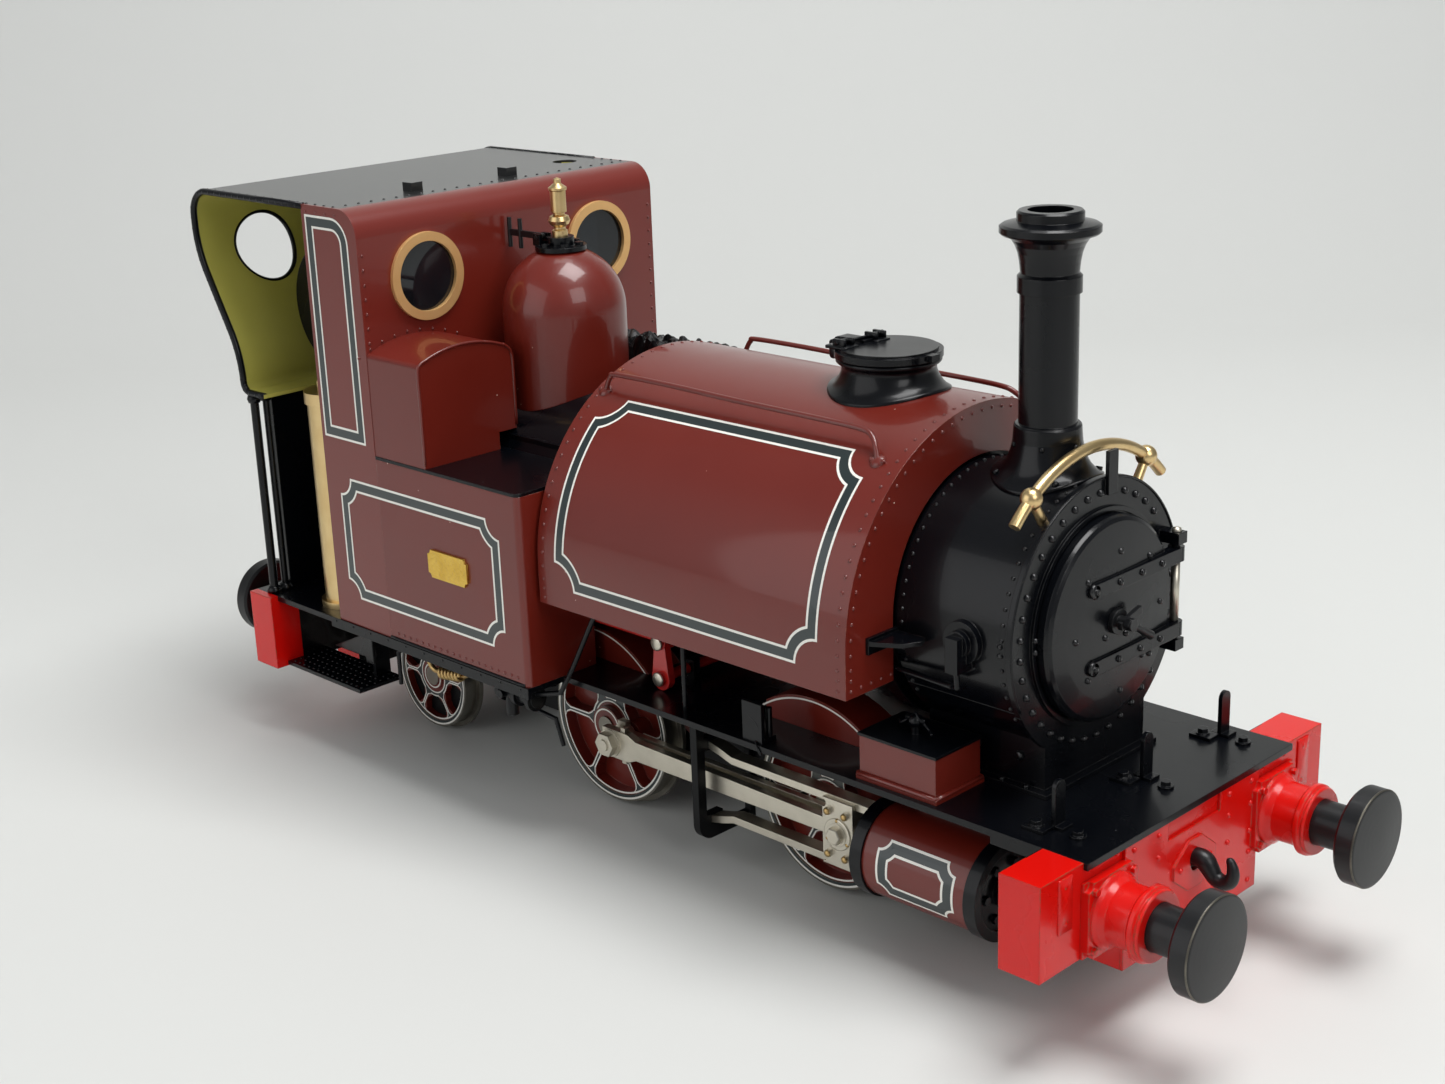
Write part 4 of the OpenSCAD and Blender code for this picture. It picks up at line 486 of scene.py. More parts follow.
def heads(points, normals, radius, height, sides=10, flat=False):
    """Rivet or bolt heads: the same small dome of rings copied to every point by broadcasting; the
    heads face their own normals, or all one normal."""
    points, normals = np.atleast_2d(points).astype(float), np.atleast_2d(normals).astype(float)
    normals = np.broadcast_to(normals / np.linalg.norm(normals, axis=1, keepdims=True), points.shape)
    u, v = around(normals)
    a = np.linspace(0, 2 * np.pi, sides, endpoint=False)
    r = np.array([1, 1, 0.93, 0.0] if flat else [1, 0.88, 0.5, 0.0]) * radius
    h = np.array([-0.25, 0.8, 1.0, 1.0] if flat else [-0.2, 0.55, 0.9, 1.0]) * height
    ring = np.cos(a)[None, :, None] * u[:, None] + np.sin(a)[None, :, None] * v[:, None]
    rise = normals[:, None, None] * h[None, :, None, None]
    p = points[:, None, None] + rise + ring[:, None] * r[None, :, None, None]
    first = np.arange(len(points))[:, None, None] * (4 * sides)
    return p.reshape(-1, 3), (quads(4, sides, close_columns=True)[None] + first).reshape(-1, 4)

def arc_points(centre, radius, start, stop, count):
    """Points (c0, c1 + r cos a, c2 + r sin a) from start to stop in degrees, and their directions."""
    a = np.radians(np.linspace(start, stop, count))
    out = np.stack([np.zeros(count), np.cos(a), np.sin(a)], 1)
    return np.asarray(centre, float) + radius * out, out

def line_points(start, stop, count):
    """Evenly spaced points from start to stop."""
    f = np.linspace(0, 1, count)[:, None]
    return np.asarray(start, float) * (1 - f) + np.asarray(stop, float) * f
print("head helpers ready")

# %% [markdown]
# The lining is three painted lines: white, a broad dark band, white. Each is the strip between
# two closed curves. A curve runs along a rectangle set in by d, and at each corner follows an
# arc about the outer corner, so the corners are scooped. All curves have the same number of
# points, so a strip is one closed grid, and a mapping lays it on a flat or a round side.

# %% Scooped lining
WHITE, DARK = 0.55, 2.05

def scooped(x0, x1, z0, z1, cove, d, round_top=0.0, n=9, m=24):
    """Closed curve of a rectangle inset by d with arcs of radius cove+d about its outer corners; with
    no cove the corners are square, apart from the third, which may be rounded by round_top."""
    r = cove + d
    start = np.arctan2(d, np.sqrt(max(r * r - d * d, 0.0)))
    ends = []
    corners = [(x0, z0, 1, 1), (x1, z0, -1, 1), (x1, z1, -1, -1), (x0, z1, 1, -1)]
    for k, (cx, cz, sx, sz) in enumerate(corners):
        a = np.linspace(np.pi / 2 - start, start, n)
        if k % 2:
            a = np.linspace(start, np.pi / 2 - start, n)
        if cove > 0:
            arc = np.stack([cx + sx * r * np.cos(a), cz + sz * r * np.sin(a)], 1)
        elif k == 2 and round_top > 0:
            q = np.linspace(0, np.pi / 2, n)
            inner = round_top - d
            arc = np.stack([x1 - round_top + inner * np.cos(q), z1 - round_top + inner * np.sin(q)], 1)
        else:
            arc = np.repeat([[cx + sx * d, cz + sz * d]], n, 0)
        ends.append(arc)
    f = np.linspace(0, 1, m)[1:-1, None]
    sides = [ends[k][-1] * (1 - f) + ends[(k + 1) % 4][0] * f for k in range(4)]
    return np.concatenate([part for pair in zip(ends, sides) for part in pair])

def lining(name, rectangle, cove, place, s, round_top=0.0):
    """Three strips; place(s, a, b) maps panel coordinates in mm to a point just above the surface."""
    cuts = [0, WHITE, WHITE + DARK, 2 * WHITE + DARK]
    strips = (("outer", lining_white), ("band", lining_dark), ("inner", lining_white))
    for k, (tag, paint) in enumerate(strips):
        curves = [scooped(*rectangle, cove, d, round_top) for d in np.linspace(cuts[k], cuts[k + 1], 3)]
        p = np.stack([place(s, curve[:, 0], curve[:, 1]) for curve in curves])
        strip = quads(len(curves), p.shape[1], close_columns=True)
        piece(f"{name}_{tag}", p.reshape(-1, 3), strip, paint, "maroon_enamel", smooth=False)
print("lining helpers ready")

# %% [markdown]
# The lined panels are on three kinds of surface. The bunker and the cab are flat, the tank is flat
# up to its centre height and then round, and the cylinder is round. On a round side the distance
# up the panel becomes length along the arc, as it does for a sheet of paper laid on it.

# %% Lay the lining on its surfaces
def on_flat_side(s, a, b):
    """Point (a, s*CAB_Y, b) on the cab or bunker side."""
    return np.stack([a, np.full_like(a, s * (CAB_Y + LIFT)), b], 1)

def on_tank(s, a, b):
    """Flat below the tank's centre height, then wrapped round by arc length."""
    phi = np.maximum(b - TANK_Z, 0) / TANK_R
    r = TANK_R + LIFT
    return np.stack([a, s * r * np.cos(phi), np.minimum(b, TANK_Z) + r * np.sin(phi)], 1)

def on_cylinder(s, a, b):
    """Round the cylinder: b is arc length above its centre height."""
    phi, r = b / CYLINDER_R, CYLINDER_R + LIFT
    return np.stack([a, s * (CYLINDER_Y + r * np.cos(phi)), AXLE_Z + r * np.sin(phi)], 1)

for side, s in (("right", -1.0), ("left", 1.0)):
    lining(f"bunker_lining_{side}", (-85.1, -24.4, 46.85, 77.85), 4.4, on_flat_side, s)
    lining(f"cab_lining_{side}", (-89.3, -72.65, 87.35, 141.25), 0.0, on_flat_side, s, round_top=6.2)
    lining(f"tank_lining_{side}", (-10.3, 68.4, 64.3, 110.7), 6.0, on_tank, s)
    lining(f"cylinder_lining_{side}", (76.2, 96.2, -5.6, 7.2), 2.4, on_cylinder, s)
print("lining laid")

# %% [markdown]
# Wheels are lined by hand on the real model: a bright steel edge, a white ring, a dark band and a
# second white ring on the rim, then a white edge round each opening between the spokes. The
# openings are cut by arcs of the rim and hub and by spokes that swell at both ends, so one line
# is the strip between that outline and the same outline set outward, and the six openings of a
# wheel are one turned copy each, made together as one array.

# %% Wheel lining shapes
SPOKES, HUB_EDGE = 6, 2.0  # the openings start this far outside the hub

def ring_strip(centre, y, s, r0, r1, n=96, a0=0.0, a1=360.0):
    """Flat ring or arc on a face at |y|: point = (x + r cos a, s*y, z + r sin a)."""
    (x, z), closed = centre, a1 - a0 == 360.0
    a = np.radians(np.linspace(a0, a1, n, endpoint=not closed))
    rows = [np.stack([x + r * np.cos(a), np.full(n, s * y), z + r * np.sin(a)], 1) for r in (r0, r1)]
    return np.concatenate(rows), quads(2, n, close_columns=closed)

def half_width(r, hub, rim):
    """Half of a spoke's width at radius r, swelling towards the hub and the rim."""
    k = (rim - hub) / 12.4
    foot = hub + HUB_EDGE
    radii = [foot, foot + 0.5 * k, foot + 1.6 * k, rim - 1.9 * k, rim - 0.7 * k, rim - 0.25 * k, rim]
    widths = np.array([2.1, 1.35, 0.66, 0.58, 1.15, 1.6, 2.3])
    return np.interp(r, radii, widths * (0.35 + 0.65 * k))

def windows(centre, y, s, hub, rim, turn, line=0.38, n=12):
    """Outlines of the openings: angle limits +-(180/SPOKES - asin(w(r)/r)) joined by the two arcs."""
    rows = []
    for d in (0.0, line):
        r0, r1 = hub + HUB_EDGE - d, rim + d
        r = np.linspace(r0, r1, 26)
        w = np.maximum(half_width(np.clip(r, hub + HUB_EDGE, rim), hub, rim) - d, 0.05)
        side = np.pi / SPOKES - np.arcsin(w / r)
        q = np.linspace(-1, 1, n)
        loop = [(r0 + 0 * q, side[0] * q), (r[1:-1], side[1:-1]),
                (r1 + 0 * q, -side[-1] * q), (r[-2:0:-1], -side[-2:0:-1])]
        rows.append(np.concatenate([np.stack(part, 1) for part in loop]))
    polar = np.stack(rows)[None]
    middles = np.pi / SPOKES * (1 + 2 * np.arange(SPOKES))[:, None, None]
    angle = polar[..., 1] + np.radians(turn) + middles
    x, z = (c + polar[..., 0] * wave(angle) for c, wave in zip(centre, (np.cos, np.sin)))
    p = np.stack([x, np.full(angle.shape, s * y), z], -1)
    m = p.shape[2]
    faces = quads(2, m, close_columns=True)[None] + np.arange(SPOKES)[:, None, None] * 2 * m
    return p.reshape(-1, 3), faces.reshape(-1, 4)

def spoke_bands(centre, y, s, hub, rim, turn, line=0.38):
    """Dark paint left between the white lines: strips of half width w(r) - line along each spoke."""
    r = np.linspace(hub + 1.7, rim + 0.1, 30)
    w = np.maximum(half_width(np.clip(r, hub + HUB_EDGE, rim), hub, rim) - line, 0.1)
    angle = np.radians(turn) + 2 * np.pi / SPOKES * np.arange(SPOKES)[:, None, None]
    side = np.stack([w, -w])[None]
    x = centre[0] + r * np.cos(angle) - side * np.sin(angle)
    z = centre[1] + r * np.sin(angle) + side * np.cos(angle)
    p = np.stack([x, np.full((SPOKES, 2, len(r)), s * y), z], -1)
    faces = quads(2, len(r))[None] + np.arange(SPOKES)[:, None, None] * 2 * len(r)
    return p.reshape(-1, 3), faces.reshape(-1, 4)
print("wheel lining worked out")

# %% [markdown]
# The lines lie a few hundredths of a millimetre apart in depth, so that where they meet the upper
# one hides the lower. Each wheel's lines ride on its wheelset and turn with it. The trailing
# wheels are open, and a black ring behind their spokes is painted shade: it stands for the dark
# under the engine that shows through the openings. The splashers have one white arc each.

# %% Line the wheels and splashers
TYRE_FACE, SPOKE_FACE = 19.0, 18.6  # |y| of the tyres' and the spokes' outer faces
WHEELS = {"rear": ((REAR_X, AXLE_Z), 19.4, 4.8, 20.4), "front": ((FRONT_X, AXLE_Z), 19.4, 4.8, 20.4),
          "trailing": ((TRAILING_X, TRAILING_Z), 13.9, 3.8, 18.8)}
for wheel, (centre, r, hub, hub_face) in WHEELS.items():
    white, dark = [], []
    body, rim, driver = wheel + "_wheelset", r - 2.2, wheel != "trailing"
    for s in SIDES:
        turn = 90.0 if driver and s > 0 else 0.0  # the left crank stands a quarter turn from the right
        white += [ring_strip(centre, TYRE_FACE + 0.06, s, r - 0.95, r - 0.5),
                  ring_strip(centre, SPOKE_FACE + 0.06, s, rim, rim + 0.42),
                  ring_strip(centre, SPOKE_FACE - 0.02, s, hub + 0.75, hub + 1.1),
                  windows(centre, SPOKE_FACE + 0.04, s, hub, rim, turn),
                  ring_strip(centre, hub_face + 0.04, s, hub - 0.8, hub - 0.4)]
        dark += [ring_strip(centre, TYRE_FACE + 0.04, s, r - 1.6, r - 0.93),
                 spoke_bands(centre, SPOKE_FACE + 0.02, s, hub, rim, turn),
                 ring_strip(centre, SPOKE_FACE - 0.04, s, hub + 1.1, hub + 1.7)]
    if not driver:
        # A black ring set behind the open spokes is painted shade, seen through the openings.
        shade_rings = [ring_strip(centre, 16.7, s, hub + 0.6, rim + 0.3) for s in SIDES]
        piece(wheel + "_wheel_painted_shade_rings", *joined(shade_rings), frame_black, "maroon_enamel", body, smooth=False)
    for tag, lines, paint in (("white", white, lining_white), ("dark", dark, lining_dark)):
        piece(f"{wheel}_wheel_{tag}_lines", *joined(lines), paint, "maroon_enamel", body, smooth=False)
arcs = []
for s in SIDES:
    arcs += [ring_strip((x, AXLE_Z), 22.96, s, 25.35, 25.75, 40, start, stop)
             for x, start, stop in ((REAR_X, 45.5, 134.5), (FRONT_X, 42.0, 133.5))]
piece("splasher_lines", *joined(arcs), lining_white, "maroon_enamel", smooth=False)
print("wheels and splashers lined")

# %% [markdown]
# Every plate on the real engine is held by rows of small round-headed rivets and hexagon bolts,
# and the heads take the paint they sit in. On the smokebox the front plate has a full ring of
# bolts, apart from those under the hinge lugs, and the wrapper has a ring of rivets at each end. A
# thin lip runs round the front, where the plate is turned over.

# %% Smokebox front
BOLTS, FIRST, STEP = 38, 175.5, 360 / 38
FRONT_BOLT, LUG_BOLT, SIDE_BOLT = (0.78, 0.72), (0.6, 0.55), (0.62, 0.5)  # radius and height of heads
WRAPPER_RIVET, SADDLE_BOLT, FLANGE_BOLT = (0.46, 0.36), (1.0, 0.6), (0.6, 0.5)
bolts, _ = arc_points((SMOKE_X, 0, BOILER_Z), 25.3, FIRST, FIRST + STEP * (BOLTS - 1), BOLTS)
under_lugs = (bolts[:, 1] > 19.5) & (np.abs(np.abs(bolts[:, 2] - BOILER_Z) - 11.4) < 3.2)
fixings = [heads(bolts[~under_lugs], X, *FRONT_BOLT, sides=12),
           heads([[SMOKE_X + 0.7, -21.4, z] for z in (73.2, 70.8)], X, *LUG_BOLT),
           heads([[101.6, 0.05 - SMOKE_R, z] for z in (72.9, 71.1)], -Y, *SIDE_BOLT)]
for x, count in ((77.4, 44), (101.9, 40)):
    fixings.append(heads(*arc_points((x, 0, BOILER_Z), SMOKE_R, -34, 214, count), *WRAPPER_RIVET))
for s in SIDES:
    fixings += [heads([[x, s * 17, 46.2] for x in (98.6, 88.2, 80.2)], s * Y, *SADDLE_BOLT, **HEXAGON),
                heads([[x, s * 18.1, 40.4] for x in (83, 89, 95, 101)], Z, *FLANGE_BOLT, **HEXAGON)]
piece("smokebox_rivets", *joined(fixings), smoke_heads, "black_enamel")
lip, _ = arc_points((SMOKE_X + 0.05, 0, BOILER_Z), SMOKE_R + 0.5, -27, 207, 90)
piece("smokebox_lip", *tube(lip, 0.27, 10), smoke_black, "black_enamel")
print("smokebox front", int((~under_lugs).sum()), "bolts")

# %% [markdown]
# The door is dished a little, so each stud stands on a height that falls with the square of its
# distance from the middle. The two straps end in round bosses, and the hinge pin is left bright.

# %% Door studs, strap ends and the bright hinge pin
studs = np.array([(1.8, 85.9), (12.0, 82.4), (16.1, 71.6), (-12.9, 71.1), (2.7, 56.5), (-8.9, 82.2),
                  (-8.6, 61.9), (9.9, 61.9), (12.7, 61.4), (-3.4, 69.4), (3.6, 68.4)])
across = np.hypot(studs[:, 0], studs[:, 1] - BOILER_Z)
DISH, DOOR_R, STRAP_GAP = 0.8, 21, 8
dish = DISH * (1 - (across / DOOR_R) ** 2)
straps = [heads(np.column_stack([DOOR_X + dish, studs]), X, 0.68, 0.55, sides=12)]
for z in (BOILER_Z - STRAP_GAP, BOILER_Z + STRAP_GAP):
    straps += [turned(stub(1.5, 107.9, 109.4, (0.15, 0.15)), (0, -7.5, z), X, 28),
               heads([[109.42, y, z] for y in (-7.5, 0.5, 8.0, 15.0)], X, 0.72, 0.6, sides=12)]
piece("door_studs", *joined(straps), smoke_heads, "black_enamel", "smokebox_door")
hinge = (107.7, 22.4, BOILER_Z)
knob = [(CLOSED, 12.3), (0.85, 12.3), (1.05, 12.7), (0.9, 13.3), (CLOSED, 13.5)]
pin = [turned(stub(0.92, -6.3, 6.3), hinge, Z, 20), turned(knob, hinge, Z, 20)]
piece("hinge_pin_sleeve", *joined(pin), rod_steel, "motion_steel", "smokebox_door")
print("door dressed")

# %% [markdown]
# The chimney's foot is a casting that drapes over the round smokebox. Its height above the barrel
# falls with the distance from the chimney's axis, and near the rim the height is measured from
# the barrel itself, so the surface is one formula blended between the two. The filler's neck sits
# on the saddle tank in the same way.

# %% Chimney foot
def draped(x, barrel, axis_z, profile, level, n=72):
    """z = zb + (1-w) sqrt((R+h)^2 - y^2) + w (R+h); w goes smoothly from 0 at level[0] to 1 at level[1]
    of h, and the profile gives the pairs (radius, h)."""
    r, h = np.asarray(profile, float).T[..., None]
    a = np.linspace(0, 2 * np.pi, n, endpoint=False)
    w = np.clip((h - level[0]) / (level[1] - level[0]), 0, 1)
    w = w * w * (3 - 2 * w)
    y = r * np.sin(a)
    high = (1 - w) * np.sqrt((barrel + h) ** 2 - y ** 2) + w * (barrel + h)
    p = np.stack([x + r * np.cos(a), y, axis_z + high], -1)
    return p.reshape(-1, 3), quads(len(profile), n, close_columns=True)

FOOT = [(6.3, 9.7), (6.62, 9.66), (6.72, 8.6), (6.86, 6.8), (7.1, 5.4), (7.45, 4.2), (7.9, 3.1),
        (8.5, 2.2), (9.2, 1.55), (10.0, 1.05), (10.7, 0.75), (11.1, 0.6), (11.15, 0.4), (11.1, 0.1)]
COLLAR_R, COLLAR_UP = 6.95, 33.6  # the collar's rivets: distance from the chimney's axis and height
RIM_R, RIM_UP = 10.2, 28.5  # the foot's bolts: distance from the chimney's and the smokebox's axes
foot = draped(CHIMNEY_X, SMOKE_R, BOILER_Z, FOOT, (1.4, 5.6))
a = np.radians([-123, -63, -3, 57, 117, 177])
outward = np.stack([np.cos(a), np.sin(a), 0 * a], 1)
collar = np.array([CHIMNEY_X, 0, BOILER_Z + COLLAR_UP]) + COLLAR_R * outward
a = np.radians([-135, -45, 45, 135])
y = RIM_R * np.sin(a)
upward = np.column_stack([0 * a, y, np.sqrt(RIM_UP ** 2 - y ** 2)])
rim = upward + np.column_stack([CHIMNEY_X + RIM_R * np.cos(a), 0 * a, BOILER_Z + 0 * a])
fixings = [heads(collar, outward, 0.55, 0.45), heads(rim, upward, 0.7, 0.55, **HEXAGON)]
piece("chimney_foot", *joined([foot, *fixings]), smoke_black, "black_enamel")
print("chimney foot draped")

# %% [markdown]
# The filler's neck is pressed sheet with a flared foot, and carries two hinge ears and their pin.
# Its CAD part holds the main form only, so this piece stands for it. The ears are small plates
# with rounded corners and edges, and one function makes all such plates.

# %% Filler neck
def slab(centre, u, v, half_u, half_v, thick, corner=0.4, bevel=0.12, n=5):
    """Thin plate: a rounded rectangle in the u, v directions raised by thick, edge set in by bevel."""
    u, v = (np.asarray(q, float) for q in (u, v))
    q = np.linspace(0, np.pi / 2, n)
    turn = np.concatenate([q + k * np.pi / 2 for k in range(4)])
    sign_u, sign_v = np.repeat([1, -1, -1, 1], n), np.repeat([1, 1, -1, -1], n)

    def ring(inset, scale=1.0):
        """Rounded rectangle set in by inset, or shrunk to close the plate's middle."""
        c = max(corner - inset, 0.01)
        a = sign_u * (half_u - inset - c) + c * np.cos(turn)
        b = sign_v * (half_v - inset - c) + c * np.sin(turn)
        return np.stack([a * scale, b * scale], 1)

    flat = np.stack([ring(0, CLOSED), ring(0), ring(0), ring(bevel), ring(bevel, CLOSED)])
    up = np.array([-0.1, -0.1, thick - bevel, thick, thick])[:, None, None]
    p = np.asarray(centre, float) + flat[..., :1] * u + flat[..., 1:] * v + up * np.cross(u, v)
    return p.reshape(-1, 3), quads(5, 4 * n, close_columns=True)

NECK = [(8.8, -2.5), (8.8, 6.2), (10.7, 6.2), (11.05, 6.05), (11.15, 5.8), (11.1, 5.45), (10.8, 5.15),
        (10.4, 4.9), (10.1, 4.6), (9.98, 4.2), (10.0, 3.7), (10.15, 3.15), (10.45, 2.55), (10.9, 1.95),
        (11.45, 1.4), (12.05, 0.98), (12.6, 0.72), (12.95, 0.55), (13.05, 0.3), (13.0, -0.2)]
PIN = [(CLOSED, -3.1), (0.7, -3.1), (0.8, -3.0), (0.8, 3.0), (0.7, 3.1), (CLOSED, 3.1)]
neck = [draped(FILLER_X, TANK_R, TANK_Z, NECK, (0.9, 3.6), 96), turned(PIN, (38.6, 0, 118.7), Y, 20)]
for y in (3.1, -1.9):
    neck += [slab((38.25, y, 117.65), X, Z, 1.05, 2.05, 1.2, corner=0.8),
             slab((40.5, y, 116.45), X, Z, 1.9, 0.85, 1.2, corner=0.3)]
filler = piece("filler_neck", *joined(neck), black, "black_enamel")
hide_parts("tank_filler")
print("filler neck shaped")

# %% [markdown]
# The draw hooks are forged: a round bar that is bent in a curve and drawn out thinner to its tip.
# The bar is a tube whose radius changes along its path, and this piece stands for the CAD hooks.

# %% Forged draw hooks
HOOK = [(127.6, 27.0, 1.9), (129.4, 27.5, 2.0), (131.0, 27.1, 2.05), (132.1, 25.8, 1.85),
        (133.3, 24.4, 1.65), (134.9, 23.9, 1.6), (136.4, 24.5, 1.5), (137.1, 25.9, 1.35),
        (137.0, 27.5, 1.15), (136.4, 29.1, 0.8)]  # x, z and the bar's radius along the hook
hook_x, hook_z, hook_r = np.array(HOOK).T
thick = np.interp(np.linspace(0, 1, 60), np.linspace(0, 1, len(HOOK)), hook_r)
hooks = []
for s in SIDES:
    bar = smooth_path(np.column_stack([s * hook_x, 0 * hook_x, hook_z]), 60)
    hooks += [tube(bar, thick, 20), heads([bar[-1] - [0, 0, 0.1]], Z, 0.8, 0.6, sides=20)]
hook = piece("forged_draw_hooks", *joined(hooks), dark_steel, "black_enamel")
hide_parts("draw_hooks")
print("hooks forged")

# %% [markdown]
# Each buffer beam carries bolts in three depths: on the raised plates behind the stocks, on the
# bare beam and on the hook's plate. Each buffer head has lost its black in a thin ring at its rim,
# where the metal is bare. The ring is a piece of its own that rides on the buffer.

# %% Buffer beams and heads
def beam_fixings(s):
    """Heads and the raised end plates on one beam's face; s is +1 in front and -1 behind."""
    plate, bare, hook_plate = s * (BEAM_X + 0.7), s * BEAM_X, s * (BEAM_X + 1.2)
    on_plate = [(12.4, 36.4), (20.6, 36.4), (12.4, 31.7), (12.4, 25.7), (20.6, 31.5), (20.6, 25.4),
                (20.6, 20.6), (20.8, 14.2), (8.2, 14.2)]
    on_beam = [(25.8, 37.6), (34.2, 37.6), (41.6, 37.0), (41.6, 29.2)]
    places = [(plate, k * y, z) for k in SIDES for y, z in on_plate]
    places += [(bare, k * y, z) for k in SIDES for y, z in on_beam]
    places += [(hook_plate, k * 5.2, 26.2) for k in SIDES]
    ends = [slab((bare, k * 41.7, 33.1), Y, s * Z, 2.2, 5.6, 0.3, corner=0.5) for k in SIDES]
    return [heads(places, s * X, 0.62, 0.5, sides=12), *ends]

piece("beam_rivets", *joined(beam_fixings(1) + beam_fixings(-1)), red, "buffer_red")
RIM = [(10.0, 151.76), (10.19, 151.6), (10.23, 151.5), (10.19, 151.4), (10.0, 151.5), (10.0, 151.76)]
for end, s in (("front", 1), ("rear", -1)):
    for side, y in (("right", -BUFFER_Y), ("left", BUFFER_Y)):
        body = f"{end}_{side}_buffer"
        piece(body + "_worn_edge", *turned(RIM, (0, y, BUFFER_Z), s * X, 72), worn_edge, "black_enamel", body)
print("beams riveted")

# %% [markdown]
# The saddle tank's end plates are riveted to a flange inside, so a row of heads follows the edge
# of each end and another row the edge of the wrapper. Each handrail stands on round feet, and a
# foot is held by two small bolts.

# %% Tank rivets
END_RIVET, TANK_RIVET, RAIL_FOOT, FOOT_BOLT = (0.42, 0.3), (0.4, 0.26), (1.7, 0.7), (0.5, 0.6)
END_ROW = 41.0  # the end plate's row runs this far from the tank's centre
rivets = []
for x, out in ((TANK_FRONT, X), (TANK_BACK, -X)):
    rivets.append(heads(arc_points((x, 0, TANK_Z), END_ROW, 0, 180, 41)[0], out, *END_RIVET))
    for s in SIDES:
        upright = line_points((x, s * END_ROW, 61.2), (x, s * END_ROW, 65.6), 3)
        level = line_points((x, s * 29, 61.3), (x, s * 38, 61.3), 4)
        rivets += [heads(upright, out, *END_RIVET), heads(level, out, *END_RIVET)]
for x in (73.6, -14.3):
    rivets.append(heads(*arc_points((x, 0, TANK_Z), TANK_R, 0, 180, 43), *TANK_RIVET))
    for s in SIDES:
        upright = line_points((x, s * TANK_R, 61.2), (x, s * TANK_R, 65.6), 3)
        rivets.append(heads(upright, s * Y, *TANK_RIVET))
for x, y in ((-12.9, 22.3), (69.3, 24.8)):
    for s in SIDES:
        away = np.array([0, s * y, np.sqrt(TANK_R ** 2 - y ** 2)]) / TANK_R
        foot = np.array([x, 0, TANK_Z]) + TANK_R * away
        rivets += [heads([foot], away, *RAIL_FOOT, sides=20),
                   heads([foot + 1.5 * X, foot - 1.5 * X], away, *FOOT_BOLT, **HEXAGON)]
piece("tank_rivets", *joined(rivets), maroon_heads, "maroon_enamel")
print("tank riveted")

# %% [markdown]
# The handrails are bent from wire: each rises from its rear foot, leans in, runs along the top and
# bends down to its front foot. The bends are soft, so a smooth curve through a few points is
# nearer to them than straight lengths with corners. This piece stands for the straight CAD rails.

# %% Tank handrails
BEND = [(-13.0, 22.2, 104.4), (-12.3, 22.3, 106.3), (-10.9, 22.4, 108.4), (-8.8, 22.4, 109.1),
        (8, 22.4, 109.2), (30, 22.4, 108.8), (54, 22.4, 108.6), (63.4, 22.4, 108.3),
        (66.3, 22.9, 107.4), (68.2, 24.0, 105.4), (69.3, 24.8, 102.9)]
rails = [tube(smooth_path(np.array(BEND) * [1, s, 1], 200), 0.6, 12) for s in SIDES]
handrails = piece("bent_tank_handrails", *joined(rails), maroon_heads, "maroon_enamel")
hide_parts("tank_handrails")
print("handrails bent")

# %% [markdown]
# The filler lid has two strap hinges that share one pin. Each is a plate with a pair of lugs, a
# short pin through them and a rivet at each lug's foot. They ride on the lid and open with it.

# %% Filler hinges
hinges = []
for x, y in ((44.0, -6.0), (44.8, 3.2)):
    for k in SIDES:
        hinges += [slab((x, y + 1.3 * k, 119.35), X, Y, 1.7, 0.45, 1.9, corner=0.3),
                   heads([[x - 2.6, y + 1.3 * k, 119.4]], Z, 0.5, 0.5)]
    hinges += [turned(stub(0.5, -2.3, 2.3), (x, y, 120.7), Y, 16),
               slab((x - 0.5, y, 119.3), X, Y, 3.0, 2.2, 0.5, corner=0.6)]
hinges.append(turned(stub(0.35, -5.2, 5.2), (44.4, -1.4, 120.5), Y + 0.09 * X, 12))
piece("filler_hinges", *joined(hinges), black, "black_enamel", "filler_lid")
print("lid hinged")

# %% [markdown]
# The cab is made of thin sheets flanged and riveted together. Maroon heads run up the front sheet
# and along the foot of the bunkers, and black ones round the roof. A bead runs round the tool
# box's front edge: up one side, over the curved lid and down the other.

# %% Cab, tool box and bunkers
FRONT_SHEET_X = -69.3
FRONT_RIVET, SIDE_RIVET, EAVES_RIVET, ROOF_RIVET = (0.4, 0.28), (0.42, 0.28), (0.35, 0.25), (0.38, 0.26)
cab_heads, black_heads = [], []
for s in SIDES:
    up = line_points((FRONT_SHEET_X, s * 45.2, 88.5), (FRONT_SHEET_X, s * 45.2, 133), 14)
    foot = line_points((-66.2, s * CAB_Y, 41.2), (-21, s * CAB_Y, 41.2), 20)
    eaves = line_points((-88.6, s * CAB_Y, 141.9), (-77, s * CAB_Y, 141.9), 4)
    cab_heads += [heads(up, X, *FRONT_RIVET), heads(foot, s * Y, *SIDE_RIVET),
                  heads(eaves, s * Y, *EAVES_RIVET)]
    edge = line_points((-133, s * 45.3, ROOF_Z + 0.5), (-79, s * 45.3, ROOF_Z + 0.5), 16)
    black_heads.append(heads(edge, Z, *ROOF_RIVET))
over_box, _ = arc_points((FRONT_SHEET_X, -33, 80.2), 33.2, 66, 118, 9)
cab_heads.append(heads(over_box, X, *FRONT_RIVET))
edge = line_points((-78.6, -42, ROOF_Z + 0.5), (-78.6, 42, ROOF_Z + 0.5), 24)
black_heads.append(heads(edge, Z, *ROOF_RIVET))
piece("cab_rivets", *joined(cab_heads), maroon_heads, "maroon_enamel")
BOX_X, LID_R = -50.0, 31.4
across = np.linspace(-12.2, 12.3, 40)
lid_line = np.stack([0 * across + BOX_X, across - 33.0, 81.3 + np.sqrt(LID_R ** 2 - across ** 2)], 1)
bead = np.concatenate([[(BOX_X, -46.35, z) for z in (86.5, 100.0, 108.6)], lid_line,
                       [(BOX_X, -18.75, 107.6), (BOX_X, -18.6, 98.0), (BOX_X, -18.6, 90.5)]])
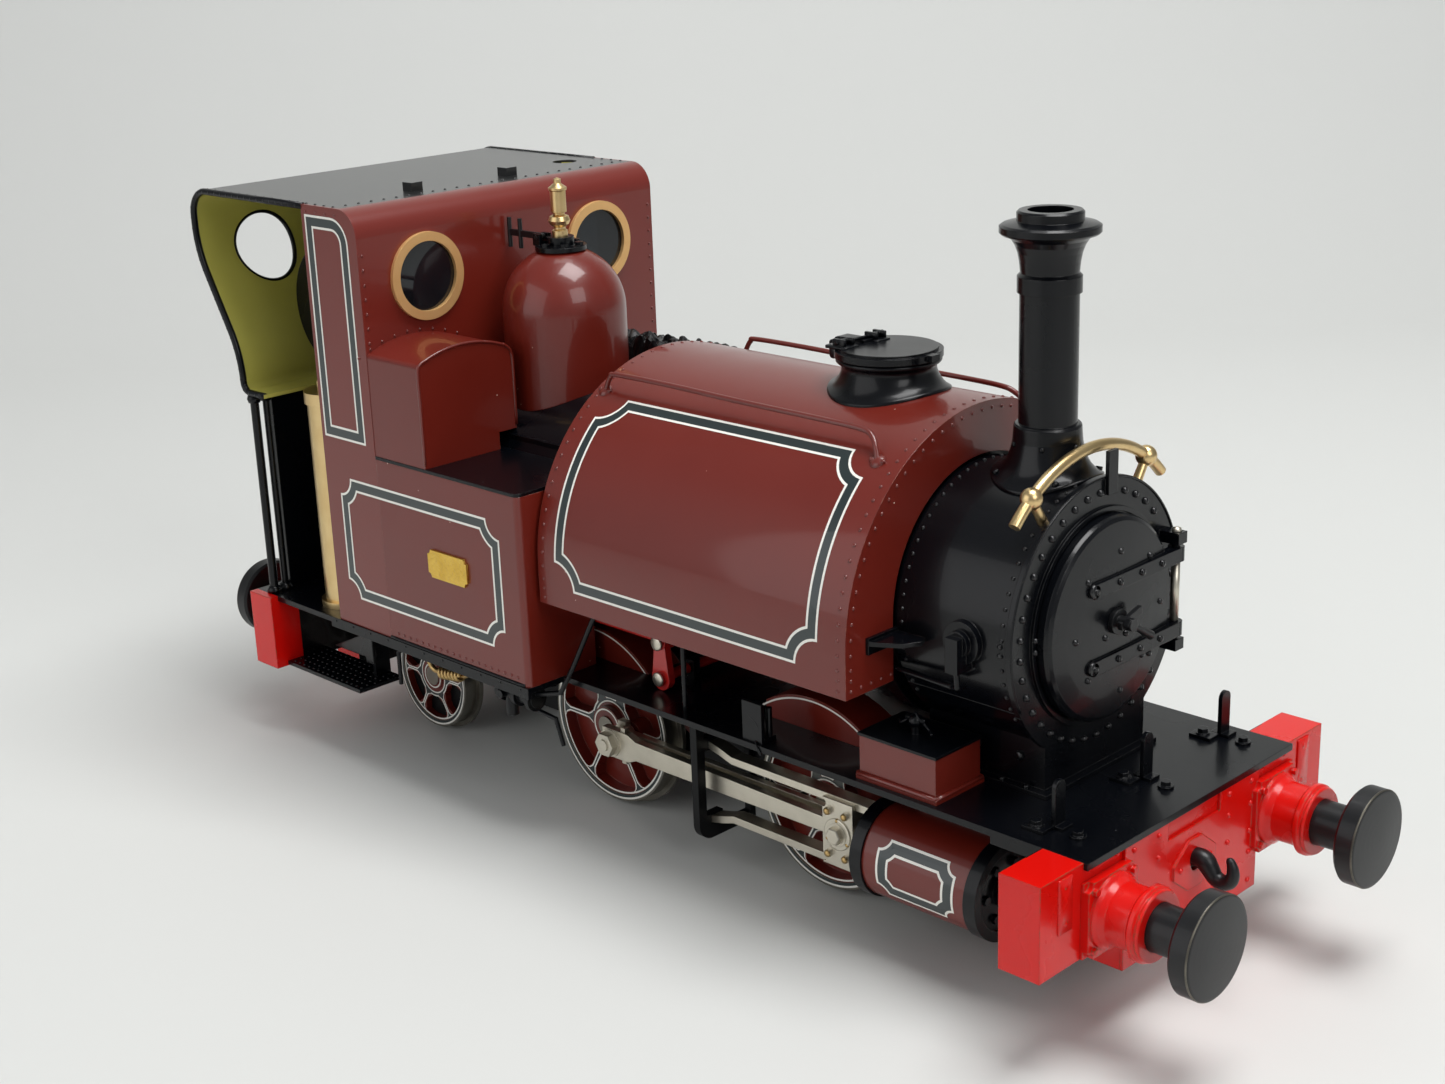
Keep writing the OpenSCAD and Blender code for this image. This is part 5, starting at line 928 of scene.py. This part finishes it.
piece("tool_box_bead", *tube(smooth_path(bead, 160), 0.38, 10), maroon_heads, "maroon_enamel")
kerbs = [tube(smooth_path([(x, s * CAB_Y, 39.75) for x in (-69.2, -50, -35, -18.6)], 30), 0.4, 8)
         for s in SIDES]
piece("bunker_kerb", *joined(kerbs), black, "black_enamel")
print("cab riveted")

# %% [markdown]
# The left bunker is heaped with crushed coal. Many separate lumps would need many faces, so the
# heap is one height field: every point takes the height of its nearest lump, which gives facets
# with creases between them. It is shaded flat, and its rim goes down to the bunker's top.

# %% Coal
def coal_heap(x0, x1, y0, y1, base, high, lumps=150, nx=110, ny=52):
    """z = base + edge(u,v) * (high * ridge(v) + lump); a lump is a cone about the nearest of many
    random points, so the surface is broken into facets like crushed coal."""
    rng = np.random.default_rng(11)
    u, v = np.meshgrid(np.linspace(0, 1, nx), np.linspace(0, 1, ny), indexing="ij")
    x, y = x0 + u * (x1 - x0), y0 + v * (y1 - y0)
    limits = [(x0, x1), (y0, y1), (-1.3, 1.6), (1.3, 2.4)]
    lump_x, lump_y, lump_z, size = (rng.uniform(low, top, lumps) for low, top in limits)
    far = np.hypot(x[..., None] - lump_x, y[..., None] - lump_y) / size
    cones = lump_z + 1.5 * (1 - np.minimum(far, 1.6) ** 1.5)
    lump = np.take_along_axis(cones, far.argmin(-1)[..., None], -1)[..., 0]
    along, side = np.minimum(u, 1 - u) * 11, np.minimum(v * 9, (1 - v) * 3.2)
    edge = np.clip(np.minimum(along, side), 0, 1) ** 0.55
    ridge = 1 - 0.75 * np.clip(v - 0.35, 0, 1)
    z = base + edge * (high * ridge + lump)
    index = np.arange(nx * ny).reshape(nx, ny)
    rim = np.concatenate([index[0, :-1], index[:-1, -1], index[-1, :0:-1], index[:0:-1, 0]])
    z.flat[rim] = base
    return np.stack([x, y, z], -1).reshape(-1, 3), quads(nx, ny).tolist() + [rim.tolist()]

BUNKER_TOP, HEAP_HIGH = 85.3, 16.5
coal = coal_heap(-68.7, -18.7, 23.2, 45.5, BUNKER_TOP, HEAP_HIGH)
heap = piece("coal_heap", *coal, coal_black, "coal", smooth=False)
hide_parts("coal")
print("coal heaped")

# %% [markdown]
# The swept edges of the cab's sides carry a half-round black beading, which follows the roof, the
# hood's bend and the back sheet. In the side view that is one curve of lines and arcs, so it is
# written once, and the bent back sheet is a part of it.

# %% Sweep of the cab's side
def arc_xz(cx, cz, r, start, stop, n=14):
    """Points (cx + r cos a, cz + r sin a) of a curve in the side view."""
    a = np.radians(np.linspace(start, stop, n))
    return np.stack([cx + r * np.cos(a), cz + r * np.sin(a)], 1)

sweep = np.concatenate([[[-90.4, ROOF_Z], [-110, ROOF_Z], [-125, ROOF_Z]],
                        arc_xz(-133, 136.5, 6.5, 90, 180), arc_xz(-115, 134.5, 24.5, 181, 210),
                        [[-132.3, 115.4]], arc_xz(-150.2, 95.47, 25.5, 30, 0),
                        arc_xz(-122.2, 95.47, 2.5, 200, 270), [[-118, 92.97], [-115.4, 92.97]]])
back_sheet = sweep[3:48][::-1]  # from its foot up to the roof

def on_back_sheet(y, z):
    """Points at y and z on the bent back sheet, where x follows from z."""
    return np.stack([np.interp(z, back_sheet[:, 1], back_sheet[:, 0]), y, z], 1)
print("cab sweep of", len(sweep), "points")

# %% [markdown]
# The beading is studded at an even spacing, so the studs are placed by length run along the curve.
# The rear windows have thinner rings that lie on the bent sheet, and each pillar has a turned foot
# and collar.

# %% Beading, window rings and pillar ends
WINDOW_R, WINDOW_Y, WINDOW_Z = 8.75, 27.3, 126.4
COLLAR = [(CLOSED, 90.2), (1.5, 90.4), (1.8, 91.4), (1.5, 92.3), (CLOSED, 92.5)]
PILLAR_FOOT = [(CLOSED, 39.4), (1.9, 39.4), (1.9, 40.2), (1.3, 41.2), (CLOSED, 41.3)]
PILLARS_Y, STUD_STEP = (45.3, 41.9), 2.7
beads, studs = [], []
for s in SIDES:
    path = np.insert(sweep, 1, s * (CAB_Y - 0.5), axis=1)
    beads.append(tube(path, 0.85, 12))
    run = np.concatenate([[0], np.cumsum(np.linalg.norm(np.diff(path, axis=0), axis=1))])
    at_run = np.arange(2.0, run[-1], STUD_STEP)
    places = np.stack([np.interp(at_run, run, path[:, k]) for k in range(3)], 1)
    studs.append(heads(places + 0.75 * s * Y, s * Y, 0.4, 0.16))
    a = np.radians(np.linspace(0, 360, 49))
    ring = on_back_sheet(s * WINDOW_Y + WINDOW_R * np.cos(a), WINDOW_Z + WINDOW_R * np.sin(a))
    beads.append(tube(ring, 0.62, 10))
    for y in PILLARS_Y:
        beads += [turned(profile, (-121.8, s * y, 0), Z, 24) for profile in (COLLAR, PILLAR_FOOT)]
piece("cab_beading", *joined(beads + studs), black, "black_enamel")
piece("roof_rivets", *joined(black_heads), roof_rivet, "roof_black")
print("cab beaded")

# %% [markdown]
# The crosshead's outer plate is the part of the motion that is seen best: four corner bolts in
# brass, a turned ring, a hexagon nut on the gudgeon and three studs about it. These ride on the
# crossheads. The two pins of the weighshaft's lever are bright too.

# %% Motion
def crosshead_bolts(x, s):
    """A ring and a hexagon nut in steel, and four corner bolts and three studs in brass."""
    face, plate, stud_r = s * 28.2, s * 28.85, 3.15
    corners = [(x + 2.4 * i, plate, AXLE_Z + 4.9 * k) for i in SIDES for k in SIDES]
    a = np.radians([90, 210, 330])
    around_nut = np.stack([x + stud_r * np.cos(a), np.full(3, face), AXLE_Z + stud_r * np.sin(a)], 1)
    ring = [(2.6, -0.2), (3.55, -0.2), (3.6, 0.25), (3.4, 0.35), (2.6, 0.35)]
    steel = [turned(ring, (x, face, AXLE_Z), s * Y, 48),
             turned(stub(2.0, 0.4, 1.8, (0.3, 0.3)), (x, face, AXLE_Z), s * Y, 6)]
    return steel, [heads(corners, s * Y, 0.85, 0.5, sides=12), heads(around_nut, s * Y, 0.55, 0.5, sides=10)]

for body, x, s in (("right_crosshead", 59.7, -1), ("left_crosshead", 51.26, 1)):
    steel, bolts = crosshead_bolts(x, s)
    piece(body + "_nut", *joined(steel), rod_steel, "motion_steel", body, smooth=False)
    piece(body + "_bolts", *joined(bolts), old_brass, "brass", body)
pins = [turned(stub(1.7, 0, 0.5, (0.3, 0.2)), (6.5, -28.4, z), -Y, 28) for z in (42.3, 50.9)]
piece("lever_pins", *joined(pins), rod_steel, "motion_steel", "weighshaft")
print("motion bolted")

# %% [markdown]
# The platform has small things that the eye looks for: a bead round each sandbox's foot, a wing
# nut of bent wire on its lid, chequered steps, a row of studs on the running board's edge and a
# drain pipe under the cab that is wound in a coil.

# %% Sandboxes, steps and board edge
trim, wires, pips = [], [], []
WING = np.array([[-5.2, -1.0, -1.6], [-3.6, 0, -1.5], [-1.2, 0.4, 0.5], [0, 0, 1.5], [1.2, -0.4, 0.6],
                 [3.4, 0, -1.3], [5.0, 1.2, -1.6]])
PIP_STEP = 2.1
for s in SIDES:
    x0, x1, y0, y1 = 71.3, 91.5, s * 19.9, s * 34.5
    corners = [(x0, y0, 40.5), (x1, y0, 40.5), (x1, y1, 40.5), (x0, y1, 40.5)]
    trim += [tube(line_points(corners[k], corners[(k + 1) % 4], 6), 0.5, 10) for k in range(4)]
    knob = np.array([80.5, s * 27.2, 52.2])
    wing = WING.copy()
    wing[[0, -1], 1] *= s
    stem = line_points(knob + [-2.4, 0, 0.2], knob + [2.4, 0, 0.2], 4)
    wires += [tube(smooth_path(knob + wing, 40), 0.3, 8), tube(stem, 0.55, 8)]
    gx, gy = np.meshgrid(np.arange(-116.8, -87.2, PIP_STEP), np.arange(34.2, 45.4, PIP_STEP), indexing="ij")
    gx = gx + 0.5 * (np.arange(gx.shape[1]) % 2)  # every other row of pips is shifted
    grid = np.stack([gx, s * gy, np.full(gx.shape, 21.12)], -1).reshape(-1, 3)
    pips.append(heads(grid, Z, 0.42, 0.22, sides=8))
    edge = [(x, s * 46.9, 38.6) for x in np.arange(-92, -19, 7.2)]
    wires.append(heads(edge, s * Y, 0.32, 0.2, sides=8))
CLIP = [(41.4, -34.6, 46.8), (41.0, -35.1, 45.6), (43.6, -35.2, 44.2), (44.4, -35.1, 42.0),
        (43.2, -34.9, 40.4), (44.6, -36.1, 39.0), (45.6, -36.0, 37.4)]
wires += [tube(smooth_path(CLIP, 50), 0.28, 8),
          heads([[40.6, -34.5, 47.4], [44.4, -34.5, 47.4]], -Y, 0.5, 0.4)]
piece("sandbox_mouldings", *joined(trim), maroon_heads, "maroon_enamel")
piece("platform_wires", *joined(wires), black, "black_enamel")
piece("step_chequer", *joined(pips), dark_steel, "black_enamel")
print("platform trimmed")

# %% [markdown]
# The coil is a helix: the angle and the place along it grow together. Two short bent pipes join it
# to the steps' bracket in front of it and behind it.

# %% Drain coil
TURNS, COIL_R = 6.5, 1.25
f = np.linspace(0, 1, 150)
turn = TURNS * 2 * np.pi * f
coil = np.stack([-62.0 + 8.6 * f, -37.8 + COIL_R * np.cos(turn), 29.6 + 1.2 * f + COIL_R * np.sin(turn)], 1)
DOWN = [(-66, -38.6, 36.6), (-66, -38.2, 31.6), (-64.6, -37.9, 29.7), (-62, -37.8, 29.6)]
UP = [(-53.6, -37.8, 30.8), (-51.5, -37.9, 31.4), (-50, -38.6, 33)]
drain = [tube(coil, 0.5, 8), tube(smooth_path(DOWN, 30), 0.7, 10), tube(smooth_path(UP, 16), 0.6, 10)]
piece("drain_coil", *joined(drain), old_brass, "brass")
print("drain wound")

# %% [markdown]
# The engine stands on a pale matt board that curves up behind it, so there is no hard horizon. A
# flat floor and a wall would show a line where they meet, and the curve hides it.

# %% Floor and backdrop
def stage_sheet():
    """A floor that curves up into a backdrop: z follows a quarter circle behind the engine."""
    near, bend, bend_r, top, half_wide = -1.6, 0.5, 0.5, 2.2, 5
    a = np.linspace(0, np.pi / 2, 24)
    reach = np.concatenate([[near, bend], bend + bend_r * np.sin(a), [bend + bend_r]])
    rise = np.concatenate([[0.0, 0.0], bend_r - bend_r * np.cos(a), [top]])
    wide = np.linspace(-half_wide, half_wide, 26)
    back = np.array([-np.sin(np.radians(AZIMUTH)), np.cos(np.radians(AZIMUTH))])
    side = np.array([back[1], -back[0]])
    xy = reach[:, None, None] * back + wide[None, :, None] * side
    p = np.concatenate([xy, np.broadcast_to(rise[:, None, None], (*xy.shape[:2], 1))], 2)
    return p.reshape(-1, 3), quads(len(reach), len(wide))

points, faces = stage_sheet()
board, *_ = new_finish("pale_matt_board", "#d2d3d0", 0.6)
mesh = bpy.data.meshes.new("studio_floor")
mesh.from_pydata(points.tolist(), [], faces.tolist())
mesh.polygons.foreach_set("use_smooth", [True] * len(mesh.polygons))
mesh.materials.append(board)
floor = bpy.data.objects.new("studio_floor", mesh)
bpy.context.scene.collection.objects.link(floor)
print("floor laid")

# %% [markdown]
# It is lit as in a small studio: a soft box above, another in front, a large weak one at the side
# and a wash on the backdrop. The world adds a little even light, so that the shadows stay open.

# %% Lights
def lamp(name, place, target, size, power):
    """A square soft box at place, pointing at target."""
    data = bpy.data.lights.new(name, "AREA")
    data.size, data.energy = size, power
    obj = bpy.data.objects.new(name, data)
    bpy.context.scene.collection.objects.link(obj)
    obj.location = place
    obj.rotation_euler = (Vector(target) - Vector(place)).to_track_quat("-Z", "Y").to_euler()

lamp("ceiling_softbox", (0.25, 0.1, 1.15), (0, 0, 0.05), 0.6, 11.5)
lamp("backdrop_wash", (-0.35, 0.35, 1.6), (-0.95, 0.95, 0.6), 0.6, 2.6)
lamp("front_softbox", (1.05, -0.2, 0.75), (0.05, 0, 0.06), 0.6, 3.8)
lamp("side_fill", (-0.35, -1.2, 0.45), (0, 0, 0.06), 1.2, 5.0)
world = bpy.data.worlds.new("studio")
bpy.context.scene.world = world
world.use_nodes = True
sky = world.node_tree.nodes["Background"]
sky.inputs["Color"].default_value = linear("#f2f4f8")
sky.inputs["Strength"].default_value = 0.32
bpy.context.scene.view_settings.view_transform = "Standard"
print("lights on")
